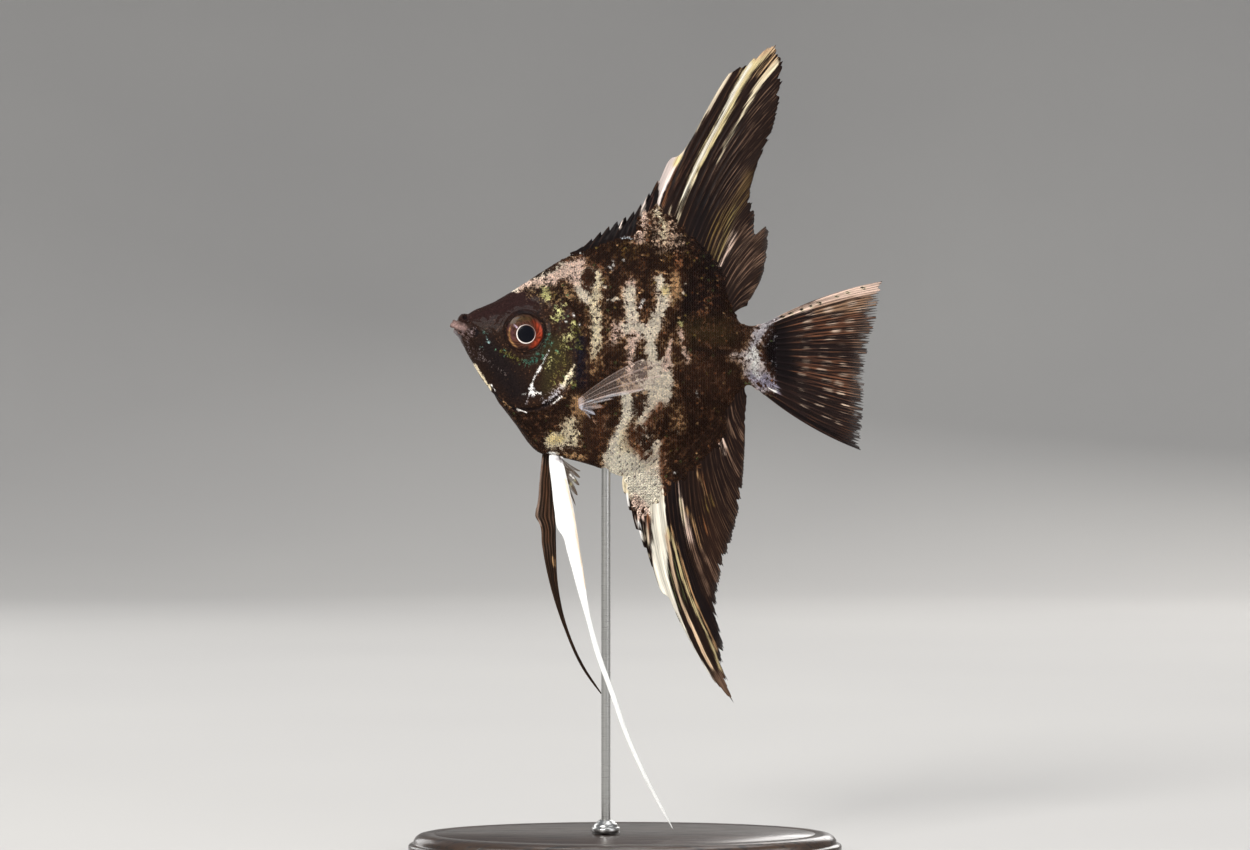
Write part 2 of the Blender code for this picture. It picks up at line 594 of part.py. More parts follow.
clear_scene()
parts = new_collection("marble_angelfish")
cutters = new_collection("cutters")
body(parts, cutters)
fins(parts)
stand(parts, cutters)
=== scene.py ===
import bpy
import numpy as np
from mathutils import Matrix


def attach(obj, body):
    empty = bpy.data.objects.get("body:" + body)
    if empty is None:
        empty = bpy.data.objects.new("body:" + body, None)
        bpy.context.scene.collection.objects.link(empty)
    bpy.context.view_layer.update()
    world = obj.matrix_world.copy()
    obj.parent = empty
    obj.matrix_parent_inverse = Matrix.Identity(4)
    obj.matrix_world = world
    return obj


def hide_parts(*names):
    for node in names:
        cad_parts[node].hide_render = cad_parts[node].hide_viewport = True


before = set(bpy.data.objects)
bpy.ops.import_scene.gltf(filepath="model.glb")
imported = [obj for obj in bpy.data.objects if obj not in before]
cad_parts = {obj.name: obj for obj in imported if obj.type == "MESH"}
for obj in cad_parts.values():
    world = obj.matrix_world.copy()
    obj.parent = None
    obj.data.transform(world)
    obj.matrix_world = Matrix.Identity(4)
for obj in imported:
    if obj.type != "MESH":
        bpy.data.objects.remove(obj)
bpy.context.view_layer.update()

# Camera and room: a level camera square to the left flank, in a pale round studio whose floor
# turns up into its wall. Soft panels light it, the largest from the upper left in front.
# Lengths are in metres here.
CAMERA_AWAY = 0.8
CAMERA_HEIGHT = 0.104
LENS = 96.0
SENSOR = 36.0
ROOM_HALF = 2.6
FLAT_RADIUS = 1.25
WALL_RISE = 1.4
FLOOR_ROWS = 90
AIR_COLOUR = (0.9, 0.93, 1.0, 1.0)
AIR_LIGHT = 0.27
PANELS = [
    # name, place, side in metres, power in watts, colour
    ("key_panel", (-0.62, -1.05, 0.80), 0.55, 20.0, (1.0, 0.98, 0.95)),
    ("fill_panel", (1.2, -1.0, 0.56), 0.95, 9.0, (0.98, 0.98, 1.0)),
    ("top_panel", (0.1, 0.15, 1.2), 0.7, 6.0, (1.0, 1.0, 1.0)),
    ("back_panel", (0.5, 1.2, 0.7), 0.7, 7.0, (1.0, 0.98, 0.96)),
    ("far_panel", (-0.9, 0.8, 0.5), 0.7, 5.0, (1.0, 1.0, 1.0)),
]
AIM = (0.0, 0.0, 0.115)


def node(tree, kind, inputs=None, **settings):
    """A shader node with its settings, and its inputs set to values or linked from other nodes' outputs."""
    made = tree.nodes.new(kind)
    for name, value in settings.items():
        setattr(made, name, value)
    for key, value in (inputs or {}).items():
        if isinstance(value, bpy.types.NodeSocket):
            tree.links.new(value, made.inputs[key])
        else:
            made.inputs[key].default_value = value
    return made


def new_material(name, **fixed):
    """A node material with constant sockets of its Principled shader set, and its tree and shader."""
    material = bpy.data.materials.new(name)
    material.use_nodes = True
    shader = material.node_tree.nodes["Principled BSDF"]
    for socket, value in fixed.items():
        shader.inputs[socket.replace("_", " ").title().replace("Ior", "IOR")].default_value = value
    return material, material.node_tree, shader


def noise(tree, place, scale, detail=2.0):
    """The value of a noise pattern, `scale` grains to the metre."""
    made = node(tree, "ShaderNodeTexNoise", {"Vector": place, "Scale": scale, "Detail": detail})
    return made.outputs["Fac"]


def between(tree, value, low, high, to_low=0.0, to_high=1.0):
    """A value stretched from one span to another, and held inside it."""
    made = node(
        tree,
        "ShaderNodeMapRange",
        {"Value": value, "From Min": low, "From Max": high, "To Min": to_low, "To Max": to_high},
    )
    return made.outputs["Result"]


def blended(tree, share, first, second, blend="MIX"):
    """The first colour turned toward the second by a share."""
    made = node(tree, "ShaderNodeMix", {0: share, 6: first, 7: second}, data_type="RGBA", blend_type=blend)
    return made.outputs[2]


def new_mesh(name, points, faces, material):
    """A smooth-shaded piece from points in metres, turned inside out if its faces point inwards."""
    points = np.asarray(points, float)
    first = np.array([face[:3] for face in faces])
    solid = np.einsum("ij,ij->i", points[first[:, 0]], np.cross(points[first[:, 1]], points[first[:, 2]]))
    mesh = bpy.data.meshes.new(name)
    turned = faces if solid.sum() > 0 else [face[::-1] for face in faces]
    mesh.from_pydata(points.tolist(), [], turned)
    mesh.shade_smooth()
    mesh.materials.append(material)
    obj = bpy.data.objects.new(name, mesh)
    bpy.context.scene.collection.objects.link(obj)
    return obj


def grid_quads(rows, columns, start=0):
    """The quads of a grid of points numbered row by row from `start`."""
    index = np.arange(rows * columns).reshape(rows, columns) + start
    corners = [index[:-1, :-1], index[:-1, 1:], index[1:, 1:], index[1:, :-1]]
    return np.stack(corners, axis=-1).reshape(-1, 4)


def object_place(tree):
    """The place of a point on its piece, in metres."""
    return node(tree, "ShaderNodeTexCoord").outputs["Object"]


def floor_height(away):
    """Zero inside the flat floor, then a parabola up to the wall's top."""
    share = np.clip((away - FLAT_RADIUS) / (ROOM_HALF - FLAT_RADIUS), 0.0, 1.3)
    return WALL_RISE * share**2


span = np.linspace(-ROOM_HALF, ROOM_HALF, FLOOR_ROWS)
floor_x, floor_y = np.meshgrid(span, span)
floor_points = np.stack([floor_x, floor_y, floor_height(np.hypot(floor_x, floor_y))], axis=-1)
floor_material, floor_tree, floor_shader = new_material("studio paper", roughness=0.9)
paper_grain = between(floor_tree, noise(floor_tree, object_place(floor_tree), 3.0), 0.3, 0.7)
paper_tone = blended(floor_tree, paper_grain, (0.50, 0.49, 0.475, 1.0), (0.53, 0.52, 0.50, 1.0))
floor_tree.links.new(paper_tone, floor_shader.inputs["Base Color"])
floor = new_mesh(
    "studio_floor", floor_points.reshape(-1, 3), grid_quads(len(span), len(span)).tolist(), floor_material
)

for name, place, side, power, colour in PANELS:
    panel = bpy.data.lights.new(name, "AREA")
    panel.size = side
    panel.energy = power
    panel.color = colour
    lamp = bpy.data.objects.new(name, panel)
    bpy.context.scene.collection.objects.link(lamp)
    lamp.location = place
    away = np.array(AIM) - np.array(place)
    turn = np.arctan2(away[1], away[0]) - np.pi / 2
    lamp.rotation_euler = (np.arccos(-away[2] / np.linalg.norm(away)), 0.0, turn)

world = bpy.data.worlds.new("studio air")
world.use_nodes = True
air = world.node_tree.nodes["Background"]
air.inputs["Color"].default_value = AIR_COLOUR
air.inputs["Strength"].default_value = AIR_LIGHT
bpy.context.scene.world = world
bpy.context.scene.view_settings.view_transform = "Standard"

camera_data = bpy.data.cameras.new("camera")
camera_data.lens = LENS
camera_data.sensor_width = SENSOR
camera_data.clip_start = 0.01
camera = bpy.data.objects.new("camera", camera_data)
camera.location = (0.0, -CAMERA_AWAY, CAMERA_HEIGHT)
camera.rotation_euler = (np.pi / 2, 0.0, 0.0)
bpy.context.scene.collection.objects.link(camera)
bpy.context.scene.camera = camera

# Skin: one closed surface from the lips to the root of the tail fin, over jaws, gill covers, trunk and
# tail stalk. It is soft, wet and finely wrinkled, and lies under the scales by their depth.
MM = 0.001
SKIN_DEPTH = 0.3
BACK_LINE = [
    (-41.7, 128.3), (-41.3, 129.0), (-40.4, 129.2), (-39.9, 130.1), (-39.3, 130.8), (-38.2, 130.8),
    (-36.0, 131.9), (-32.0, 133.6), (-24.0, 138.4), (-16.0, 143.5), (-8.0, 147.0), (0.0, 149.5),
    (5.0, 150.3), (10.0, 149.8), (15.0, 147.2), (20.0, 142.8), (23.5, 137.6), (26.0, 131.9),
    (27.4, 129.2), (29.5, 128.2), (33.5, 128.8), (36.8, 129.9),
]
BELLY_LINE = [
    (-41.7, 127.8), (-41.2, 126.8), (-40.5, 125.8), (-39.0, 123.1), (-36.8, 118.9), (-32.5, 112.0),
    (-26.4, 104.0), (-22.0, 98.1), (-19.5, 96.5), (-16.0, 96.0), (-10.0, 94.6), (-5.0, 93.0),
    (-0.7, 91.4), (5.0, 92.6), (10.0, 95.1), (15.0, 98.3), (20.0, 102.8), (25.0, 108.6),
    (28.0, 112.3), (29.6, 113.3), (31.0, 112.7), (33.5, 110.9), (36.8, 109.3),
]
WIDEST_LINE = [(-41.7, 128.0), (-35.0, 125.2), (-25.0, 122.5), (-10.0, 119.0), (5.0, 120.0), (36.8, 121.0)]
HALF_WIDTH = [
    (-41.7, 0.7), (-41.0, 1.5), (-39.0, 2.4), (-35.0, 3.6), (-29.0, 5.0), (-22.0, 6.0), (-14.0, 6.5),
    (-4.0, 6.4), (8.0, 5.5), (18.0, 4.1), (26.0, 2.8), (33.5, 1.8), (36.8, 0.62),
]
KEEL_UP = [(-41.7, 1.0), (-30.0, 1.2), (-18.0, 1.5), (20.0, 1.5), (33.5, 1.1)]
KEEL_DOWN = [(-41.7, 1.0), (-30.0, 1.15), (-10.0, 1.2), (10.0, 1.4), (20.0, 1.45), (33.5, 1.1)]
GILL_EDGE = [
    (-13.2, 132.2), (-11.9, 130.6), (-11.4, 126.0), (-11.3, 121.0), (-12.2, 116.4), (-14.6, 112.2),
    (-18.0, 109.3), (-22.0, 108.0), (-26.0, 108.0), (-29.0, 109.3), (-32.0, 112.0), (-35.0, 116.0),
]
CHEEK_EDGE = [
    (-25.0, 110.6), (-22.3, 114.0), (-20.3, 118.0), (-18.6, 121.7), (-17.0, 126.0), (-15.2, 130.2),
]
MOUTH_LINE = [(-42.4, 127.4), (-41.2, 127.0), (-40.0, 126.4), (-38.6, 125.9)]
JAW_FOLD = [(-38.6, 125.9), (-37.2, 124.6), (-36.0, 122.6), (-34.6, 120.0), (-34.2, 117.4)]
LIP_FOLD = [(-40.6, 129.3), (-38.8, 128.5), (-36.9, 128.3), (-35.4, 127.3), (-34.9, 125.4), (-34.4, 122.6)]
FOLDS = [
    # line, share along it where it fades, rim's height, distance and width, groove's depth, both sides
    (MOUTH_LINE, 0.8, 0.3, 0.62, 0.42, 0.5, True),
    (JAW_FOLD, 0.7, 0.14, 0.4, 0.4, 0.22, False),
    (LIP_FOLD, 0.7, 0.16, 0.45, 0.4, 0.2, False),
]
GROOVE_WIDTH = 0.2
# bells: height, distance of the crest from the line or centre, width
GILL_GROOVE = (0.3, -0.42, 0.3)
CHEEK_GROOVE = (0.1, 0.3, 0.3)
NOSTRIL_RIM = (0.22, 0.62, 0.2)
NOSTRIL_PIT = (0.55, 0.0, 0.36)
ORBIT_CREST = (0.10, 6.2, 1.3)
ORBIT_GROOVE = (0.05, 7.8, 0.7)
LID_CREST = (0.26, 4.8, 0.26)
LID_FOLD = (0.07, 5.3, 0.14)
NOSTRIL = (-38.35, 129.75)
EYE_CENTRE = (-23.9, 4.75, 126.1)
EYE_RADIUS = 4.9
EYE_BULGE = 1.5
SOCKET_DEPTH = 2.7
WRINKLES = [(0.05, 1.3, 0), (0.03, 0.5, 1)]
PECTORAL_BOSS = (-10.9, 109.0)
STATIONS = 330
RING_HALF = 138
AROUND_EYE = 96
ORBIT_REACH = (4.2, 6.1)
LEFT, RIGHT = -1.0, 1.0


def smooth(points, at):
    """The value at each of `at` of a smooth curve through (place, value) points.

    Each span is a cubic, and its slope at a point is the mean of the slopes on the point's two sides.
    """
    place, value = np.array(points, float).T
    slope = np.gradient(value, place)
    at = np.asarray(at, float)
    i = np.clip(np.searchsorted(place, at) - 1, 0, len(place) - 2)
    run = place[i + 1] - place[i]
    t = np.clip((at - place[i]) / run, 0.0, 1.0)
    start = (1 + 2 * t) * (1 - t) ** 2 * value[i] + t * (1 - t) ** 2 * run * slope[i]
    end = t * t * (3 - 2 * t) * value[i + 1] - t * t * (1 - t) * run * slope[i + 1]
    return start + end


def step(value, low, high):
    """Zero below `low`, one above `high`, and a smooth rise between them."""
    share = np.clip((value - low) / (high - low), 0.0, 1.0)
    return share * share * (3 - 2 * share)


def hump(away, width):
    """A bell of height one at no distance that fades over about a width."""
    return np.exp(-((away / width) ** 2))


def beside(line, x, z):
    """Distance to a line, the same with a sign by side (right is positive), and the share of its length."""
    best = np.full(np.shape(x), 1e9)
    side = np.ones(np.shape(x))
    share = np.zeros(np.shape(x))
    for k, ((ax, az), (bx, bz)) in enumerate(zip(line, line[1:])):
        run = np.hypot(bx - ax, bz - az)
        along = ((x - ax) * (bx - ax) + (z - az) * (bz - az)) / run**2
        held = np.clip(along, 0.0, 1.0)
        away = np.hypot(x - ax - held * (bx - ax), z - az - held * (bz - az))
        nearer = away < best
        cross = (bz - az) * (x - ax) - (bx - ax) * (z - az)
        best = np.where(nearer, away, best)
        side = np.where(nearer, np.sign(cross), side)
        share = np.where(nearer, (k + held) / (len(line) - 1), share)
    return best, best * side, share


LATTICE = 128
GRAINS = np.random.default_rng(11).random((4, LATTICE, LATTICE))


def grain(x, z, size, layer=0):
    """A cloudy value from -1 to 1: random numbers on a square lattice, smoothly blended between."""
    u, v = np.asarray(x) / size, np.asarray(z) / size
    i, j = np.floor(u).astype(int), np.floor(v).astype(int)
    s, t = step(u - i, 0.0, 1.0), step(v - j, 0.0, 1.0)
    table = GRAINS[layer]
    corner = [table[(i + a) % LATTICE, (j + b) % LATTICE] for a in (0, 1) for b in (0, 1)]
    low = corner[0] * (1 - t) + corner[1] * t
    high = corner[2] * (1 - t) + corner[3] * t
    return 2 * (low * (1 - s) + high * s) - 1


def clouds(x, z, parts):
    """The sum of cloudy values from their (height, size, layer)."""
    return sum(height * grain(x, z, size, layer) for height, size, layer in parts)


def flank(x, z, inset=SKIN_DEPTH):
    """The body's half width at a point of its side view, less the inset.

    With s the share of the way from the widest line to the back or the belly, it is the half width there
    times (1 - s squared) to half the keel's power.
    """
    middle = smooth(WIDEST_LINE, x)
    up = z > middle
    reach = np.where(up, smooth(BACK_LINE, x) - inset - middle, middle - inset - smooth(BELLY_LINE, x))
    keel = np.where(up, smooth(KEEL_UP, x), smooth(KEEL_DOWN, x))
    level = np.clip(np.abs(z - middle) / np.maximum(reach, 0.01), 0.0, 1.0)
    return (smooth(HALF_WIDTH, x) - inset) * (1 - level**2) ** (keel / 2)


def bell_at(gap, crest):
    """A bell from its (height, distance, width), at a distance from its centre or line."""
    height, place, width = crest
    return height * hump(gap - place, width)


def pectoral_boss(x, z):
    """The low oval lump that the pectoral fin springs from."""
    along, up = (x - PECTORAL_BOSS[0]) / 1.1, (z - PECTORAL_BOSS[1]) / 2.1
    return 0.5 * hump(np.hypot(along, up), 1.0)


def head_relief(x, z):
    """Height of the head's own forms over the smooth body, in millimetres.

    Each form is a bell or a smooth step of the distance to its line or centre. Rims add to the height,
    grooves take from it, and both fade toward the ends of their line. Fine wrinkles cover the whole head.
    """
    gap, side, share = beside(GILL_EDGE, x, z)
    lower = step(share, 0.62, 0.95)
    ends = step(share, 0.0, 0.1) * (1 - step(share, 0.9, 1.0))
    cover = step(side, -0.14, 0.14) * hump(np.maximum(side, 0), 5.0) * (0.42 - 0.22 * lower)
    height = ends * (cover - bell_at(side, GILL_GROOVE))
    gap, side, share = beside(CHEEK_EDGE, x, z)
    ends = step(share, 0.0, 0.15) * (1 - step(share, 0.75, 1.0))
    cheek = 0.2 * step(-side, -0.12, 0.12) * hump(np.minimum(side, 0), 3.0)
    height += ends * (cheek - bell_at(side, CHEEK_GROOVE))
    for line, fade, rim, away, width, groove, both in FOLDS:
        gap, side, share = beside(line, x, z)
        raised = bell_at(gap if both else side, (rim, away, width))
        height += (1 - step(share, fade, 1.0)) * (raised - groove * hump(gap, GROOVE_WIDTH))
    gap = np.hypot(x - NOSTRIL[0], (z - NOSTRIL[1]) * 0.8)
    height += bell_at(gap, NOSTRIL_RIM) - bell_at(gap, NOSTRIL_PIT)
    gap = np.hypot(x - EYE_CENTRE[0], z - EYE_CENTRE[2])
    socket = SOCKET_DEPTH * (1 - step(gap, EYE_RADIUS - 0.15, EYE_RADIUS + 0.25))
    height += bell_at(gap, ORBIT_CREST) - bell_at(gap, ORBIT_GROOVE) - socket
    height += pectoral_boss(x, z)
    on_head = 1 - step(x, -15.0, -11.0)
    return height + on_head * clouds(x, z, WRINKLES)


def tube(rings):
    """Points and faces of a surface whose rows are closed rings. A fan to a middle point closes each end."""
    rows, around = rings.shape[:2]
    index = np.arange(rows * around).reshape(rows, around)
    ahead = np.roll(index, -1, axis=1)
    quads = np.stack([index[:-1], ahead[:-1], ahead[1:], index[1:]], axis=-1).reshape(-1, 4)
    count = rows * around
    front = np.stack([ahead[0], index[0], np.full(around, count)], axis=-1)
    rear = np.stack([index[-1], ahead[-1], np.full(around, count + 1)], axis=-1)
    points = np.concatenate([rings.reshape(-1, 3), rings[[0, -1]].mean(axis=1)])
    return points, quads.tolist() + front.tolist() + rear.tolist()


def body_rings():
    """The skin as rings of points: the body's own sections, and the head's relief along the normal.

    A section's point at level s is s of the way from the widest line to the back or the belly, and
    (1 - s squared) to half the keel's power out from the middle plane. Stations crowd toward the snout.
    """
    along = np.linspace(0.0, 1.0, STATIONS)
    first, last = BACK_LINE[0][0], BACK_LINE[-1][0]
    x = first + (last - first) * (0.42 * along + 0.58 * along**2.2)
    inset = SKIN_DEPTH * step(x, first, first + 4.0)[:, None]
    level = np.linspace(-1.0, 1.0, RING_HALF + 1)
    level = 0.6 * level + 0.4 * np.sin(level * np.pi / 2)
    middle = smooth(WIDEST_LINE, x)[:, None]
    up = smooth(BACK_LINE, x)[:, None] - inset - middle
    down = middle - smooth(BELLY_LINE, x)[:, None] - inset
    z = middle + level * np.where(level > 0, up, down)
    keel = np.where(level > 0, smooth(KEEL_UP, x)[:, None], smooth(KEEL_DOWN, x)[:, None])
    y = (smooth(HALF_WIDTH, x)[:, None] - inset) * np.clip(1 - level**2, 0.0, 1.0) ** (keel / 2)
    ring_z = np.concatenate([z, z[:, -2:0:-1]], axis=1)
    ring_y = np.concatenate([-y, y[:, -2:0:-1]], axis=1)
    ring_x = np.repeat(x[:, None], ring_z.shape[1], axis=1)
    rings = np.stack([ring_x, ring_y, ring_z], axis=2)
    around = np.roll(rings, -1, axis=1) - np.roll(rings, 1, axis=1)
    normal = np.cross(around, np.gradient(rings, axis=0))
    normal /= np.maximum(np.linalg.norm(normal, axis=2, keepdims=True), 1e-9)
    if (normal[..., 1] * ring_y).sum() < 0:
        normal = -normal
    return rings + normal * head_relief(ring_x, ring_z)[..., None]


def full_turn(count):
    """The angles of that many even steps round a circle."""
    return np.linspace(0.0, 2 * np.pi, count + 1)[:-1]


def eye_dome(out, bulge):
    """A flattened dome about the eye's middle: the bulge times the root of 1 - (out / radius) squared."""
    return bulge * np.sqrt(np.clip(1 - (out / EYE_RADIUS) ** 2, 0.0, 1.0))


def orbit_ring(side):
    """The raised rim of skin round an eye, as rings about the eye's middle.

    It runs from behind the ball's edge, over a crest, down into the cheek: a smooth blend from the ball's
    dome to the flank, with two bells on it.
    """
    turn = full_turn(AROUND_EYE)
    out = np.linspace(*ORBIT_REACH, 20)[:, None]
    x = EYE_CENTRE[0] + out * np.cos(turn)
    z = EYE_CENTRE[2] + out * np.sin(turn)
    ball = EYE_CENTRE[1] + eye_dome(out, EYE_BULGE)
    cheek = flank(x, z) + bell_at(out, ORBIT_CREST)
    rise = step(out, 4.5, 5.5)
    crest = bell_at(out, LID_CREST) + bell_at(out, LID_FOLD)
    buried = np.where(out < ORBIT_REACH[1] - 0.05, 0.03, -0.2)
    tucked = 2.2 * np.maximum(4.45 - out, 0.0)
    y = side * (ball * (1 - rise) + cheek * rise + crest + buried - tucked)
    return np.stack([x, y, z], axis=2)


# Markings in the living skin: each is a line of (x, z, width) points on one of two layers. The ground layer
# holds the dark pigment. The pale layer holds the bright pigment and how much of it covers the dark.


def linear(red, green, blue):
    """Display values from 0 to 255 as linear red, green and blue."""
    shown = np.array([red, green, blue]) / 255.0
    return np.where(shown < 0.04045, shown / 12.92, ((shown + 0.055) / 1.055) ** 2.4)


BONE = linear(234, 220, 198)
CREAM = linear(242, 226, 192)
YELLOW = linear(238, 216, 160)
PINK = linear(232, 202, 184)
RUST = linear(142, 94, 64)
WHITE = linear(250, 247, 242)
GOLD = linear(204, 198, 136)
GREEN = linear(94, 92, 42)
TEAL = linear(52, 92, 78)
TAN = linear(188, 148, 106)
SLATE = linear(186, 180, 184)
UMBER = linear(94, 64, 45)
NIGHT = linear(24, 18, 19)
NAVY = linear(24, 24, 36)
BROWN = linear(52, 34, 25)
OLIVE = linear(66, 54, 32)
PLUM = linear(39, 23, 22)
STRAW = linear(220, 216, 150)
SPECKLE = linear(216, 184, 158)
CHALK = linear(250, 240, 218)
MAUVE = linear(158, 152, 168)
ASH = linear(140, 130, 128)
FROST = linear(190, 196, 204)
BODY_GROUND = linear(39, 25, 18)
HALO = linear(74, 46, 31)


def over(colour, strength, soft, *line):
    """A mark of bright pigment, from its (x, z, width) points."""
    return "pale", colour, strength, soft, line


def under(colour, strength, soft, *line):
    """A mark of the ground's pigment, from its (x, z, width) points."""
    return "ground", colour, strength, soft, line


# The next three are also on the scaly roots of the dorsal and anal fins
SPECKLED_BACK = [
    over(PINK, 0.6, 0.8, (3.4, 148.6, 1.6), (3.9, 151.6, 1.5), (4.8, 154.6, 1)),
    over(SPECKLE, 0.46, 0.9, (8.4, 148.0, 3.4), (8, 151.6, 2.2), (7.4, 155.4, 1.4)),
    over(CREAM, 0.62, 0.6, (9.4, 148.6, 1.2), (9, 152, 0.9), (7.6, 155.4, 0.9)),
    over(SPECKLE, 0.46, 0.8, (11, 148.6, 1.6), (11.2, 152, 1.0), (10.4, 156, 0.7)),
]
BELLY_PATCH = over(
    CHALK, 0.88, 0.6, (0, 93.4, 7), (5, 93.4, 7.4), (4.6, 90, 8.6), (5.6, 87, 7.4), (6.4, 84.4, 6)
)
# A painted highlight: a small white tick of reflected light on the belly
PAINTED_BELLY_GLINT = over(WHITE, 0.95, 0.2, (11.6, 93.2, 0.3), (11.8, 92.6, 0.5), (12.2, 92.9, 0.3))
